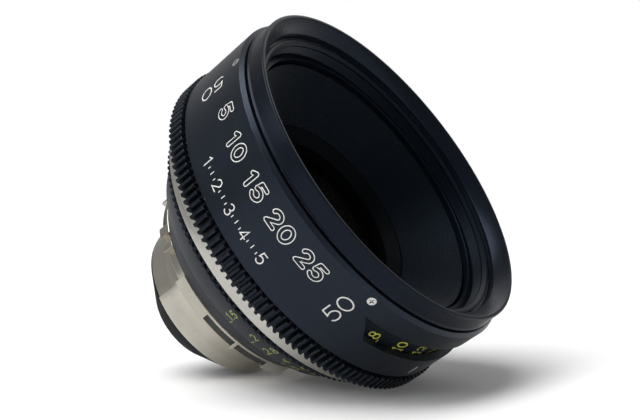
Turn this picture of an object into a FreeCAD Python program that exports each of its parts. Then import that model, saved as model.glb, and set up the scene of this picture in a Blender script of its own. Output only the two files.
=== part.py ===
import FreeCAD, Part
import Sketcher
import math
import os

from FreeCAD import Placement, Rotation, Vector

os.makedirs("parts", exist_ok=True)
doc = FreeCAD.newDocument("prime_lens")

# Driving dimensions, millimetres and degrees
# Heights run from the rear end of the lens, which is at zero, to the front lip.
SIZES = [
    # Front ring
    ("lip_height", 87.3, "front lip above the rear end"),
    ("lip_inset", 1.6, "front ring's outside inside the housing's"),
    ("skirt_flare", 0.4, "bead at the front ring's skirt"),
    ("skirt_drop", 5.5, "lower edge of the front ring's skirt under the lip"),
    ("lip_round", 0.5, "bevel on the lip"),
    ("lip_land", 0.6, "flat width of the lip"),
    ("mouth_inset", 4.3, "narrow end of the bell mouth inside the front ring's outside"),
    ("mouth_depth", 3.7, "depth of the bell mouth"),
    ("mouth_wall", 2.0, "depth of the plain wall under the bell mouth"),
    ("groove_width", 0.7, "dark groove between the skirt and the front housing"),
    ("groove_depth", 1.5, "depth of that groove under the skirt's radius"),
    ("skirt_wall", 1.9, "wall of the front ring's inner skirt"),
    ("skirt_depth", 3.6, "length of the inner skirt in the main barrel"),
    # Filter thread ring
    ("thread_wall", 1.8, "metal behind the front thread"),
    ("thread_length", 3.6, "straight length of the front thread"),
    ("thread_bevel", 0.8, "bright bevel at the thread's mouth"),
    ("thread_drop", 5.2, "face of the thread ring under the lip"),
    ("mouth_step", 0.7, "step from the bell mouth in to the thread ring's seat"),
    ("ledge_thick", 1.4, "inner ledge of the thread ring"),
    # Front housing
    ("housing_radius", 53.6, "outside of the front housing"),
    ("housing_wall", 2.3, "wall of the front housing"),
    ("housing_gap", 0.6, "rear edge of the front housing over the focus gear"),
    ("bevel_radial", 0.9, "front bevel, radial"),
    ("bevel_axial", 1.1, "front bevel, axial"),
    ("edge_break", 0.3, "small edge breaks"),
    ("overcut", 1.0, "length by which a cut passes the faces it opens"),
    ("window_height", 6.7, "height of the scale window"),
    ("window_lap", 0.5, "front edge of the scale window under the focus sleeve's"),
    ("window_span", 70.0, "angle taken by the front edge of one scale window"),
    ("window_slant", 6.0, "run of a window's slanted end round the housing"),
    ("window_angle", 65.0, "middle of the first scale window"),
    ("mark_centre", -17.0, "angle about which the outside is symmetrical"),
    ("screw_drop", 2.7, "housing screws under the housing's front edge"),
    ("screw_angle", 27.0, "angle of the first housing screw"),
    ("screw_head", 1.25, "radius of a housing screw's head"),
    ("screw_head_thick", 1.1, "thickness of a housing screw's head"),
    ("screw_shank", 0.7, "radius of a housing screw's shank"),
    ("screw_length", 3.2, "length of a housing screw"),
    ("recess_span", 1.3, "length of a cross recess over the head's radius"),
    ("recess_width", 0.3, "width of a cross recess over the head's radius"),
    ("recess_share", 0.6, "depth of a cross recess over the head's thickness"),
    # Main barrel
    ("barrel_wall", 4.0, "wall of the main barrel round the guide bore"),
    ("barrel_drop", 1.3, "top of the main barrel under the housing's front edge"),
    ("flange_thick", 4.2, "thickness of the barrel's front flange"),
    ("web_low", 46.9, "rear face of the barrel's web"),
    ("web_high", 50.0, "front face of the barrel's web"),
    ("core_wall", 2.9, "wall of the core, the bearing for the iris ring"),
    ("core_gap", 0.8, "clearance round the carrier in the core"),
    ("core_low", 36.1, "lower shoulder of the core"),
    ("core_step", 1.1, "step in the core's bore over its lower shoulder"),
    ("spigot_wall", 2.0, "wall of the rear spigot"),
    ("spigot_gap", 0.6, "clearance round the carrier's tail in the spigot"),
    ("spigot_low", 31.5, "end of the rear spigot"),
    ("spacer_thick", 1.6, "wall of the bare metal spacer ring"),
    ("spacer_top", 52.2, "front face of the spacer ring"),
    # Gears
    ("gear_module", 0.735, "tooth module of the focus and iris gears"),
    ("focus_stand", 0.8, "tips of the focus gear outside the housing"),
    ("iris_stand", 4.2, "tips of the iris gear over its seat"),
    ("tooth_share", 0.30, "width of a tooth tip over the tooth pitch"),
    ("spacer_gap", 0.3, "focus gear over the spacer ring"),
    ("focus_width", 5.1, "width of the focus gear"),
    ("iris_width", 2.6, "width of the iris gear"),
    ("iris_gap", 0.3, "iris gear under the barrel's web"),
    # Focus ring
    ("run_gap", 0.06, "radial clearance of the running fits"),
    ("free_gap", 0.4, "radial clearance where parts pass freely"),
    ("scale_wall", 1.3, "wall of the focus scale ring"),
    ("sleeve_wall", 1.54, "wall of the focus sleeve"),
    ("sleeve_gap", 1.3, "front edge of the focus sleeve under the barrel's flange"),
    ("stop_height", 0.9, "height of the focus stops"),
    ("stop_width", 8.0, "angle taken by the moving stop"),
    ("stop_pin", 1.0, "radius of a fixed stop pin"),
    ("focus_back", -46.0, "turn from rest to the far end of the focus scale"),
    ("focus_forward", 197.0, "turn from rest to the near end of the focus scale"),
    ("stop_start", 200.0, "angle of the moving stop at rest"),
    ("stop_inset", 0.45, "radial inset of the moving stop on its ring"),
    ("focus_lead", 5.2, "travel of the optics for one turn of the focus ring"),
    # Iris ring and rear barrel
    ("cone_over", 2.8, "wide end of the iris scale over the gear's seat"),
    ("cone_neck", 0.3, "height of the plain rim under the iris gear"),
    ("cone_wall", 1.74, "wall of the iris ring at its narrow end"),
    ("cone_gap", 0.3, "iris scale over the rear barrel"),
    ("iris_ring_wall", 3.64, "wall of the iris ring under its gear"),
    ("rear_over", 1.1, "wide end of the rear barrel over the core"),
    ("rear_step", 0.3, "narrow end of the rear barrel inside the spigot's outside"),
    ("rear_rim", 0.2, "height of the rear barrel's rim"),
    ("rear_web_bore", 28.6, "bore of the rear barrel's web"),
    ("shim_thick", 0.2, "thickness of the mount shim"),
    # Mount
    ("seat_height", 25.2, "flange seat above the rear end"),
    ("mount_radius", 35.0, "outside of the mount flange"),
    ("mount_thick", 4.0, "thickness of the mount flange"),
    ("tube_radius", 27.0, "outside of the mount tube"),
    ("tube_bore", 25.2, "bore of the mount tube"),
    ("tube_low", 11.2, "rear end of the mount tube"),
    ("ear_count", 4, "ears of the mount flange"),
    ("gap_radius", 33.0, "floor of the gaps between the flange ears"),
    ("gap_width", 16.0, "angle taken by one gap"),
    ("gap_angle", -25.5, "middle of the first gap"),
    ("relief_width", 18.6, "angle taken by one rear relief"),
    ("relief_pitch", 20.4, "angle between the two reliefs of an ear"),
    ("relief_angle", 13.0, "middle of the first relief"),
    ("relief_height", 3.0, "height of a relief above the seat"),
    ("relief_floor", 33.6, "radius left under a relief"),
    ("key_notch", 3.2, "width of the locating notch"),
    ("key_notch_angle", -39.0, "angle of the locating notch"),
    ("key_notch_floor", 30.5, "radius left under the locating notch"),
    ("tube_flat_depth", 0.8, "depth of the relieved sector of the tube"),
    ("tube_flat_low", 18.2, "top of the relieved sector"),
    ("tube_flat_span", 60.0, "angle taken by the relieved sector"),
    ("tube_flat_start", -22.5, "edge of the relieved sector"),
    ("mount_screw_circle", 31.0, "radius of the mount screws' circle"),
    ("mount_screw_count", 6, "mount screws"),
    ("mount_screw_angle", 15.0, "angle of the first mount screw"),
    ("mount_screw_head", 1.9, "radius of a mount screw's head"),
    ("mount_screw_sink", 1.3, "height of a mount screw's head"),
    ("mount_screw_shank", 1.0, "radius of a mount screw's shank"),
    ("mount_screw_length", 6.0, "length of a mount screw"),
    # Rear shroud
    ("shroud_top", 15.2, "top of the rear shroud inside the tube"),
    ("shroud_rim", 26.2, "rim of the rear shroud behind the tube"),
    ("shroud_shoulder", 10.4, "where the rear shroud starts to taper"),
    ("shroud_end", 16.0, "outside of the rear end"),
    ("shroud_end_bevel", 0.4, "bevel of the rear end"),
    ("shroud_mouth", 14.6, "opening of the rear end"),
    ("shroud_wall", 1.8, "wall of the rear shroud in the tube"),
    # Optics
    ("funnel_inset", 2.5, "wide end of the front funnel inside the thread"),
    ("funnel_drop", 11.4, "rim of the front funnel under the lip"),
    ("funnel_land", 0.5, "width of the funnel's rim"),
    ("funnel_lap", 1.5, "narrow end of the front funnel inside the cells' outside"),
    ("funnel_low", 63.4, "narrow end of the funnel above the rear end"),
    ("funnel_ridges", 24, "ridges in the funnel"),
    ("funnel_skirt", 58.0, "lower edge of the funnel's skirt"),
    ("funnel_wall", 1.6, "wall of the funnel"),
    ("cell_radius", 31.0, "outside of the cells in the carrier"),
    ("cell_top", 62.9, "top of the front cell"),
    ("cell_low", 42.3, "bottom of the front cell"),
    ("front_glass_wall", 1.7, "front element inside its retaining ring's outside"),
    ("front_seat", 53.8, "seat of the front element"),
    ("front_thread_wall", 1.7, "wall of the front cell round the retaining ring"),
    ("front_thread_low", 58.0, "bottom of that ring's thread"),
    ("front_clear_inset", 1.6, "clear edge inside the front element's rim"),
    ("doublet_glass", 20.5, "radius of the front doublet"),
    ("doublet_seat", 43.1, "seat of the front doublet"),
    ("doublet_clear", 17.5, "clear radius behind the front doublet"),
    ("seat_width", 2.2, "width of the seat behind the front element"),
    ("doublet_bore", 8.6, "straight length of the bore round the front doublet"),
    ("ring_clear", 0.33, "inner foot of the front retaining ring over the glass"),
    ("ring_proud", 0.4, "height of the front retaining ring over the cell"),
    ("ring_land", 0.7, "width of the front retaining ring's rim"),
    ("ring_cone", 2.0, "height of the clear edge over the ring's thread"),
    ("doublet_ring_low", 6.7, "doublet's retaining ring above the doublet's seat"),
    ("doublet_ring_thick", 1.5, "thickness of that ring"),
    ("doublet_ring_wall", 1.3, "wall of that ring"),
    ("rear_flange", 1.4, "thickness of the rear cell's flange"),
    ("rear_wall", 4.5, "wall of the rear cell"),
    ("rear_taper", 11.6, "where the rear cell starts to taper"),
    ("rear_end", 2.2, "rear end of the rear cell"),
    ("rear_lip", 2.0, "width of the seat under the rear elements"),
    ("rear_seat", 15.9, "depth of that seat under the iris housing"),
    ("tail_wall", 1.5, "wall of the rear cell round the rear element"),
    ("tail_lip", 1.0, "width of the seat of the rear element"),
    ("tail_seat", 4.85, "seat of the rear element"),
    ("tail_top", 13.0, "top of the bore round the rear element"),
    ("tail_ring_low", 8.65, "bottom of the rear element's retaining ring"),
    ("tail_ring_top", 10.4, "top of that ring"),
    ("spacer_wall", 1.7, "wall of the rear spacer and the rear element's ring"),
    ("rear_spacer_low", 13.8, "bottom of the rear spacer under the iris housing"),
    ("rear_spacer_top", 8.0, "top of the rear spacer under the iris housing"),
    ("rear_ring_thick", 1.2, "thickness of the rear retaining ring"),
    ("rear_ring_wall", 3.3, "wall of the rear retaining ring"),
    ("rear_glass", 16.5, "radius of the rear doublet and its neighbour"),
    ("tail_glass", 11.5, "radius of the rear element"),
    ("guide_low", 54.5, "bottom of the carrier's guide land"),
    ("guide_high", 60.0, "top of the carrier's guide land"),
    ("carrier_wall", 5.2, "wall of the carrier"),
    ("carrier_step", 39.0, "where the carrier narrows"),
    ("tail_sleeve", 2.0, "wall of the carrier's tail"),
    ("carrier_low", 33.0, "lower end of the carrier"),
    ("key_span", 24.0, "angle taken by a helicoid key"),
    ("key_low", 55.0, "bottom of a helicoid key"),
    ("key_height", 4.5, "height of a helicoid key"),
    ("key_gap", 0.4, "clearance round a key in its slot"),
    ("key_depth", 1.6, "depth of a key's foot in the carrier"),
    ("key_count", 3, "helicoid keys"),
    ("key_angle", 30.0, "angle of the first key"),
    ("key_run", 0.08, "radial clearance between a key and the focus sleeve"),
    # Glass: heights of the vertices over the seats, and the radii of the faces
    ("front_vertex", 8.5, "front of the front element over its seat"),
    ("front_curve", 60.0, "front face of the front element"),
    ("front_back_vertex", 2.2, "rear of the front element over its seat"),
    ("front_back_curve", 160.0, "rear face of the front element"),
    ("doublet_vertex", 10.8, "front of the front doublet over its seat"),
    ("doublet_curve", 44.0, "front face of the front doublet"),
    ("doublet_joint", 5.4, "cemented face of the front doublet over its seat"),
    ("doublet_back_vertex", 3.8, "rear of the front doublet over its seat"),
    ("doublet_back_curve", 34.0, "rear face of the front doublet"),
    ("inner_top", 1.2, "rim of the rear doublet under the iris housing"),
    ("inner_vertex", 3.8, "front of the rear doublet under the iris housing"),
    ("inner_curve", 34.0, "front face of the rear doublet"),
    ("inner_joint", 5.4, "cemented face of the rear doublet under the iris housing"),
    ("inner_back_vertex", 11.4, "rear of the rear doublet under the iris housing"),
    ("sixth_vertex", 12.0, "front of the sixth element under the iris housing"),
    ("sixth_back_vertex", 17.6, "rear of the sixth element under the iris housing"),
    ("sixth_curve", 60.0, "both faces of the sixth element"),
    ("tail_vertex", 9.5, "front of the rear element"),
    ("tail_curve", 50.0, "front face of the rear element"),
    ("tail_back_vertex", 4.0, "rear of the rear element"),
    ("tail_back_curve", 70.0, "rear face of the rear element"),
    # Iris
    ("iris_floor", 34.0, "bottom of the iris housing"),
    ("iris_plate", 1.6, "floor of the iris housing"),
    ("iris_wall", 1.6, "wall of the iris housing"),
    ("iris_aperture", 15.6, "opening of the iris housing"),
    ("blade_count", 9, "iris blades"),
    ("blade_thick", 0.15, "thickness of a blade"),
    ("blade_pitch", 0.45, "height from one blade to the next"),
    ("blade_base", 35.9, "underside of the lowest blade"),
    ("blade_inner", 15.5, "inner arc of a blade"),
    ("blade_angle", 112.0, "angle taken by a blade"),
    ("pivot_inset", 3.6, "blade pivots inside the iris housing's wall"),
    ("pivot_pin", 0.6, "radius of a pivot pin"),
    ("pivot_pad", 1.4, "radius of the pad round a pivot"),
    ("pivot_fit", 0.05, "clearance of a pivot pin in the housing"),
    ("blade_rest", 26.9, "closing angle of the blades at rest"),
    ("cam_low", 40.0, "underside of the cam ring"),
    ("cam_thick", 1.0, "thickness of the cam ring"),
    ("cam_bore", 17.0, "bore of the cam ring"),
    ("cam_gap", 0.4, "clearance round the cam ring"),
    ("cam_slot", 0.8, "half width of a slot in the cam ring"),
    ("cam_margin", 2.6, "metal left at the ends of a cam slot"),
    ("cam_slant", 38.0, "slant of a cam slot"),
    ("cam_slot_angle", 20.0, "angle from a blade's pivot to its cam slot"),
    ("cam_pin", 0.9, "radius of the iris driving pin"),
    ("pin_reach", 1.54, "length of the iris driving pin in the iris ring"),
    ("cam_pin_angle", 120.0, "angle of the iris driving pin at rest"),
    ("pin_play", 0.2, "side clearance of that pin in its groove"),
    ("iris_back", -8.0, "turn of the iris ring from rest to the smallest stop"),
    ("iris_forward", 58.0, "turn of the iris ring from rest to full aperture"),
    ("slot_margin", 3.0, "angle left beyond each end of the iris travel"),
    ("cover_low", 41.4, "underside of the iris cover"),
]

sheet = doc.addObject("Spreadsheet::Sheet", "Sizes")
for row, (name, value, note) in enumerate(SIZES, start=1):
    sheet.set(f"A{row}", name)
    sheet.set(f"B{row}", str(value))
    sheet.set(f"C{row}", note)
    sheet.setAlias(f"B{row}", name)
doc.recompute()


class Size:
    """A dimension that carries its value and the sheet expression that gives it."""

    def __init__(self, text, value):
        self.text = text
        self.value = value

    def _join(self, other, sign, value):
        other_text = other.text if isinstance(other, Size) else str(other)
        return Size(f"({self.text} {sign} {other_text})", value)

    def __add__(self, other):
        return self._join(other, "+", self.value + number(other))

    def __sub__(self, other):
        return self._join(other, "-", self.value - number(other))

    def __mul__(self, other):
        return self._join(other, "*", self.value * number(other))

    def __truediv__(self, other):
        return self._join(other, "/", self.value / number(other))

    def __neg__(self):
        return Size(f"(0 - {self.text})", -self.value)


def number(item):
    return item.value if isinstance(item, Size) else float(item)


def face_height(vertex, curve, radius):
    """Height at a radius of a spherical face that bulges upwards."""
    rise = Size(f"sqrt({curve.text} ^ 2 - {radius.text} ^ 2)",
                math.sqrt(curve.value ** 2 - radius.value ** 2))
    return vertex - curve + rise


class Sheet:
    """Each alias of the sheet as an attribute."""

    def __init__(self):
        for alias, _, _ in SIZES:
            setattr(self, alias, Size(f"Sizes.{alias}", float(sheet.get(alias))))


d = Sheet()


# Sizes that follow from others, front half from the housing's outside inwards
housing_bore = d.housing_radius - d.housing_wall
lip_radius = d.housing_radius - d.lip_inset
mouth_radius = lip_radius - d.mouth_inset
thread_outer = mouth_radius - d.mouth_step
thread_radius = thread_outer - d.thread_wall
funnel_radius = thread_radius - d.funnel_inset
scale_radius = housing_bore - d.free_gap
sleeve_radius = scale_radius - d.scale_wall
sleeve_bore = sleeve_radius - d.sleeve_wall
barrel_radius = sleeve_bore - d.run_gap
barrel_bore = barrel_radius - d.barrel_wall
guide_radius = barrel_bore - d.run_gap
spacer_radius = barrel_radius + d.spacer_thick
skirt_radius = lip_radius + d.skirt_flare
groove_floor = skirt_radius - d.groove_depth
ledge_bore = funnel_radius + d.free_gap
ring_skirt_radius = thread_outer + d.skirt_wall

# Rear half and inner parts, from the cells' outside outwards and inwards
carrier_tail = d.cell_radius + d.tail_sleeve
carrier_radius = d.cell_radius + d.carrier_wall
spigot_bore = carrier_tail + d.spigot_gap
spigot_radius = spigot_bore + d.spigot_wall
core_bore = carrier_radius + d.core_gap
core_radius = core_bore + d.core_wall
iris_bore = core_radius + d.run_gap
iris_seat = iris_bore + d.iris_ring_wall
cone_top_radius = iris_seat + d.cone_over
cone_low_radius = iris_bore + d.cone_wall
rear_top_radius = core_radius + d.rear_over
rear_low_radius = spigot_radius - d.rear_step
skirt_wall_radius = d.cell_radius + d.funnel_wall
funnel_mouth = d.cell_radius - d.funnel_lap
front_thread = d.cell_radius - d.front_thread_wall
front_glass = front_thread - d.front_glass_wall
front_clear = front_glass - d.front_clear_inset
iris_inner = d.cell_radius - d.iris_wall
pivot_radius = iris_inner - d.pivot_inset
blade_outer = pivot_radius - d.pivot_pad
cam_radius = iris_inner - d.cam_gap
cam_pin_end = iris_bore + d.pin_reach

# Heights: the front from the lip down, the gears from the barrel's web
skirt_height = d.lip_height - d.skirt_drop
thread_top = d.lip_height - d.thread_drop
funnel_top = d.lip_height - d.funnel_drop
housing_front = skirt_height - d.groove_width
barrel_top = housing_front - d.barrel_drop
screw_height = housing_front - d.screw_drop
flange_low = barrel_top - d.flange_thick
sleeve_top = flange_low - d.sleeve_gap
window_high = sleeve_top - d.window_lap
window_low = window_high - d.window_height
ledge_top = thread_top - d.thread_bevel - d.thread_length
ring_skirt_low = barrel_top - d.skirt_depth
focus_low = d.spacer_top + d.spacer_gap
focus_high = focus_low + d.focus_width
housing_rear = focus_high + d.housing_gap
iris_high = d.web_low - d.iris_gap
iris_low = iris_high - d.iris_width
cone_low = d.core_low + d.cone_gap
core_floor = d.core_low + d.core_step
mount_top = d.seat_height + d.mount_thick
rear_low = mount_top + d.shim_thick
plate_top = d.iris_floor + d.iris_plate
ring_foot = face_height(d.front_seat + d.front_vertex, d.front_curve, front_clear) + d.ring_clear

# Gears, travel and angles
focus_teeth = round(((d.housing_radius + d.focus_stand) * 2 / d.gear_module).value) - 2
iris_teeth = round(((iris_seat + d.iris_stand) * 2 / d.gear_module).value) - 2
focus_tip = d.gear_module * (focus_teeth + 2) / 2
iris_tip = d.gear_module * (iris_teeth + 2) / 2
tooth_height = d.gear_module * 2.25
travel_per_degree = d.focus_lead / 360
travel_back = travel_per_degree * d.focus_back
travel_forward = travel_per_degree * d.focus_forward
second_window = d.window_angle - 180
slant_angle = d.window_slant / (d.housing_radius * math.pi) * 180
second_screw = d.mark_centre * 2 - d.screw_angle


# Building helpers
def bind(item, path, size):
    item.setExpression(path, size.text if isinstance(size, Size) else str(size))


def new_body(label):
    body = doc.addObject("PartDesign::Body", label)
    body.Label = label
    return body


def origin_plane(body, role):
    for feature in body.Origin.OriginFeatures:
        if feature.Role == role:
            return feature
    raise ValueError(role)


def outline(body, name, points, role="XZ_Plane", turn=None):
    """Closed straight-sided outline; every corner is held by two driven distances."""
    sketch = body.newObject("Sketcher::SketchObject", name)
    sketch.AttachmentSupport = [(origin_plane(body, role), "")]
    sketch.MapMode = "FlatFace"
    if turn is not None:
        sketch.AttachmentOffset = Placement(Vector(), Rotation(Vector(0, 1, 0), number(turn)))
    corners = [Vector(number(x), number(y), 0) for x, y in points]
    count = len(corners)
    for index in range(count):
        sketch.addGeometry(Part.LineSegment(corners[index], corners[(index + 1) % count]))
    for index in range(count):
        sketch.addConstraint(Sketcher.Constraint("Coincident", index, 2, (index + 1) % count, 1))
    for index, (x, y) in enumerate(points):
        hold_corner(sketch, index, "DistanceX", x, -2)
        hold_corner(sketch, index, "DistanceY", y, -1)
    return sketch


def hold_corner(sketch, index, kind, size, axis):
    if not isinstance(size, Size) and number(size) == 0:
        sketch.addConstraint(Sketcher.Constraint("PointOnObject", index, 1, axis))
        return
    held = sketch.addConstraint(Sketcher.Constraint(kind, -1, 1, index, 1, number(size)))
    if isinstance(size, Size):
        bind(sketch, f"Constraints[{held}]", size)


def turned(label, points):
    """A ring or sleeve turned about the lens axis."""
    body = new_body(label)
    sketch = outline(body, label + "_outline", points)
    feature = body.newObject("PartDesign::Revolution", label + "_turn")
    feature.Profile = sketch
    feature.ReferenceAxis = (sketch, ["V_Axis"])
    feature.Angle = 360.0
    sketch.Visibility = False
    return body


def groove(body, name, points, turn, span, middle=True):
    """A cut of limited angle about the lens axis, centred on the turned outline."""
    sketch = outline(body, name + "_outline", points, turn=turn)
    bind(sketch, "AttachmentOffset.Rotation.Angle", turn)
    feature = body.newObject("PartDesign::Groove", name)
    feature.Profile = sketch
    feature.ReferenceAxis = (sketch, ["V_Axis"])
    feature.Midplane = middle
    bind(feature, "Angle", span)
    sketch.Visibility = False
    return feature


def box_outline(inner, outer, low, high):
    return [(inner, low), (outer, low), (outer, high), (inner, high)]


def times(size):
    """The indexes of a repeated feature."""
    return range(int(number(size)))


def polar(radius, degrees, height=0.0):
    angle = math.radians(degrees)
    return Vector(radius * math.cos(angle), radius * math.sin(angle), height)


def turn_copy(shape, degrees):
    copy = shape.copy()
    copy.rotate(Vector(), Vector(0, 0, 1), degrees)
    return copy


def feature(label, shape):
    """A sub-part whose form no sketch or primitive gives."""
    item = doc.addObject("Part::Feature", label)
    item.Label = label
    item.Shape = shape
    item.Placement = shape.Placement
    return item


def sector(inner, outer, low, high, middle, span):
    """A block bounded by two radii, two heights and two angles."""
    face = Part.Face(Part.makePolygon([
        Vector(inner, 0, low), Vector(outer, 0, low), Vector(outer, 0, high),
        Vector(inner, 0, high), Vector(inner, 0, low)]))
    block = face.revolve(Vector(), Vector(0, 0, 1), span)
    return turn_copy(block, middle - span / 2)


# Front ring, with its bell mouth, skirt and threaded inner skirt
def build_front_ring():
    lip_inner = lip_radius - d.lip_round - d.lip_land
    turned("front_ring", [
        (lip_inner, d.lip_height),
        (lip_radius - d.lip_round, d.lip_height),
        (lip_radius, d.lip_height - d.lip_round),
        (lip_radius, skirt_height + d.skirt_flare * 1.5),
        (skirt_radius, skirt_height),
        (groove_floor, skirt_height),
        (groove_floor, housing_front),
        (housing_bore, housing_front),
        (housing_bore, barrel_top),
        (ring_skirt_radius, barrel_top),
        (ring_skirt_radius, ring_skirt_low),
        (thread_outer, ring_skirt_low),
        (thread_outer, d.lip_height - d.mouth_depth - d.mouth_wall),
        (mouth_radius, d.lip_height - d.mouth_depth - d.mouth_wall),
        (mouth_radius, d.lip_height - d.mouth_depth),
    ])


# Thread ring behind the bell mouth
def build_thread_ring():
    turned("thread_ring", [
        (thread_radius + d.thread_bevel, thread_top),
        (thread_outer, thread_top),
        (thread_outer, ledge_top - d.ledge_thick),
        (ledge_bore, ledge_top - d.ledge_thick),
        (ledge_bore, ledge_top),
        (thread_radius, ledge_top),
        (thread_radius, thread_top - d.thread_bevel),
    ])


# Front housing with two scale windows and four countersunk screw holes
def build_front_housing():
    body = turned("front_housing", [
        (housing_bore, housing_front),
        (d.housing_radius - d.bevel_radial, housing_front),
        (d.housing_radius, housing_front - d.bevel_axial),
        (d.housing_radius, housing_rear + d.edge_break),
        (d.housing_radius - d.edge_break, housing_rear),
        (housing_bore, housing_rear),
    ])
    window = box_outline(housing_bore - d.overcut, d.housing_radius + d.overcut, window_low, window_high)
    for name, middle in (("first", d.window_angle), ("second", second_window)):
        groove(body, f"{name}_window", window, middle, d.window_span - slant_angle * 2)
        offset = (d.window_span - slant_angle) / 2
        slanted_end(body, f"{name}_window_start", middle - offset, -1)
        slanted_end(body, f"{name}_window_end", middle + offset, 1)
    for index, angle in enumerate(screw_angles()):
        drill_radial(body, f"screw_seat_{index}", angle, d.screw_head, screw_height,
                     d.housing_radius - d.screw_head_thick, d.housing_radius + d.overcut)
        drill_radial(body, f"screw_hole_{index}", angle, d.screw_shank, screw_height,
                     housing_bore - d.overcut, d.housing_radius)


def slanted_end(body, name, angle, side):
    """A three-cornered radial cut that widens a window towards the front."""
    half = d.window_slant / 2
    inward = -(half + d.edge_break) * side
    sketch = outline(body, name + "_outline", [
        (half * side, window_high), (inward, window_high), (inward, window_low),
        (-half * side, window_low)], turn=angle + 90)
    bind(sketch, "AttachmentOffset.Rotation.Angle", angle + 90)
    cut = body.newObject("PartDesign::Pocket", name)
    cut.Profile = sketch
    cut.Reversed = True
    bind(cut, "Length", d.housing_radius + d.overcut)
    sketch.Visibility = False


def screw_angles():
    return [d.screw_angle, second_screw, d.screw_angle + 180, second_screw + 180]


def drill_radial(body, name, angle, radius, height, start, end):
    """A round radial hole cut between two distances from the axis."""
    cutter = body.newObject("PartDesign::SubtractiveCylinder", name)
    bind(cutter, "Radius", radius)
    bind(cutter, "Height", end - start)
    cutter.AttachmentSupport = [(origin_plane(body, "XY_Plane"), "")]
    cutter.MapMode = "FlatFace"
    turn = Rotation(Vector(0, 0, 1), number(angle)) * Rotation(Vector(0, 1, 0), 90)
    base = polar(number(start), number(angle), number(height))
    cutter.AttachmentOffset = Placement(base, turn)
    bind(cutter, "AttachmentOffset.Base.x", Size(f"({start.text} * cos({angle.text} * 1 deg))", base.x))
    bind(cutter, "AttachmentOffset.Base.y", Size(f"({start.text} * sin({angle.text} * 1 deg))", base.y))
    bind(cutter, "AttachmentOffset.Base.z", height)


def cross_recess(radius, thick):
    """The cross in a screw's head, centred on the Z axis and cut down from zero."""
    span, width = radius * number(d.recess_span), radius * number(d.recess_width)
    depth = thick * number(d.recess_share)
    arm = Part.makeBox(span, width, depth, Vector(-span / 2, -width / 2, -depth))
    return arm.fuse(turn_copy(arm, 90))


def build_housing_screws():
    head, thick = number(d.screw_head), number(d.screw_head_thick)
    shank, length = number(d.screw_shank), number(d.screw_length)
    screw = Part.makeCylinder(head, thick, Vector(0, 0, -thick))
    screw = screw.fuse(Part.makeCylinder(shank, length - thick, Vector(0, 0, -length)))
    screw = screw.cut(cross_recess(head, thick)).removeSplitter()
    group = []
    for angle in screw_angles():
        copy = screw.copy()
        copy.Placement = Placement(
            polar(number(d.housing_radius), number(angle), number(screw_height)),
            Rotation(Vector(0, 0, 1), number(angle)) * Rotation(Vector(0, 1, 0), 90))
        group.append(copy)
    feature("housing_screws", Part.makeCompound(group))


# Main barrel: bearing for the focus sleeve, web, core for the iris ring and rear spigot
def build_main_barrel():
    body = turned("main_barrel", [
        (barrel_bore, d.web_high),
        (barrel_bore, ring_skirt_low),
        (ring_skirt_radius, ring_skirt_low),
        (ring_skirt_radius, barrel_top),
        (housing_bore, barrel_top),
        (housing_bore, flange_low),
        (barrel_radius, flange_low),
        (barrel_radius, d.web_low),
        (core_radius, d.web_low),
        (core_radius, d.core_low),
        (spigot_radius, d.core_low),
        (spigot_radius, d.spigot_low),
        (spigot_bore, d.spigot_low),
        (spigot_bore, core_floor),
        (core_bore, core_floor),
        (core_bore, d.web_high),
    ])
    key_slot = box_outline(
        barrel_bore - d.overcut, barrel_radius + d.overcut,
        d.key_low + travel_back - d.key_gap,
        d.key_low + d.key_height + travel_forward + d.key_gap)
    for index in times(d.key_count):
        groove(body, f"key_slot_{index}", key_slot, d.key_angle + 360 / number(d.key_count) * index,
               d.key_span + d.key_gap * 2)
    pin_middle = d.cam_low + d.cam_thick / 2
    pin_slot = box_outline(
        core_bore - d.overcut, core_radius + d.overcut,
        pin_middle - d.cam_pin - d.key_gap + travel_back,
        pin_middle + d.cam_pin + d.key_gap + travel_forward)
    middle = d.cam_pin_angle + (d.iris_back + d.iris_forward) / 2
    groove(body, "iris_pin_slot", pin_slot, middle,
           d.iris_forward - d.iris_back + d.slot_margin * 2)
    for index, angle in enumerate(screw_angles()):
        drill_radial(body, f"screw_thread_{index}", angle, d.screw_shank, screw_height,
                     d.housing_radius - d.screw_length, housing_bore + d.overcut)


def build_spacer_ring():
    turned("spacer_ring", [
        (barrel_radius, d.web_low),
        (spacer_radius - d.edge_break, d.web_low),
        (spacer_radius, d.web_low + d.edge_break),
        (spacer_radius, d.spacer_top),
        (barrel_radius, d.spacer_top),
    ])


def build_focus_stop_pins():
    radius = number(barrel_radius) + (number(scale_radius) - number(barrel_radius)) / 2
    half = math.degrees(number(d.stop_pin) / radius) + number(d.stop_width) / 2
    low = number(flange_low) - number(d.stop_height)
    pins = []
    for limit in (number(d.focus_back) - half, number(d.focus_forward) + half):
        spot = polar(radius, number(d.stop_start) + limit, low)
        pins.append(Part.makeCylinder(number(d.stop_pin), number(d.stop_height), spot))
    feature("focus_stop_pins", Part.makeCompound(pins))


# Toothed rings
def toothed_ring(label, teeth, tip, bore, low, high):
    """A ring with straight-flanked gear teeth along its whole width."""
    root = number(tip) - number(tooth_height)
    pitch = 360 / number(teeth)
    top_half = pitch * number(d.tooth_share) / 2
    foot_half = pitch * (1 - number(d.tooth_share)) / 2
    corners = []
    for index in times(teeth):
        middle = index * pitch
        corners.append(polar(root, middle - foot_half, number(low)))
        corners.append(polar(number(tip), middle - top_half, number(low)))
        corners.append(polar(number(tip), middle + top_half, number(low)))
        corners.append(polar(root, middle + foot_half, number(low)))
    corners.append(corners[0])
    blank = Part.Face(Part.makePolygon(corners))
    width = number(high) - number(low)
    ring = blank.extrude(Vector(0, 0, width))
    hole = Part.makeCylinder(number(bore), width * 3, Vector(0, 0, number(low) - width))
    feature(label, ring.cut(hole))


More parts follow.
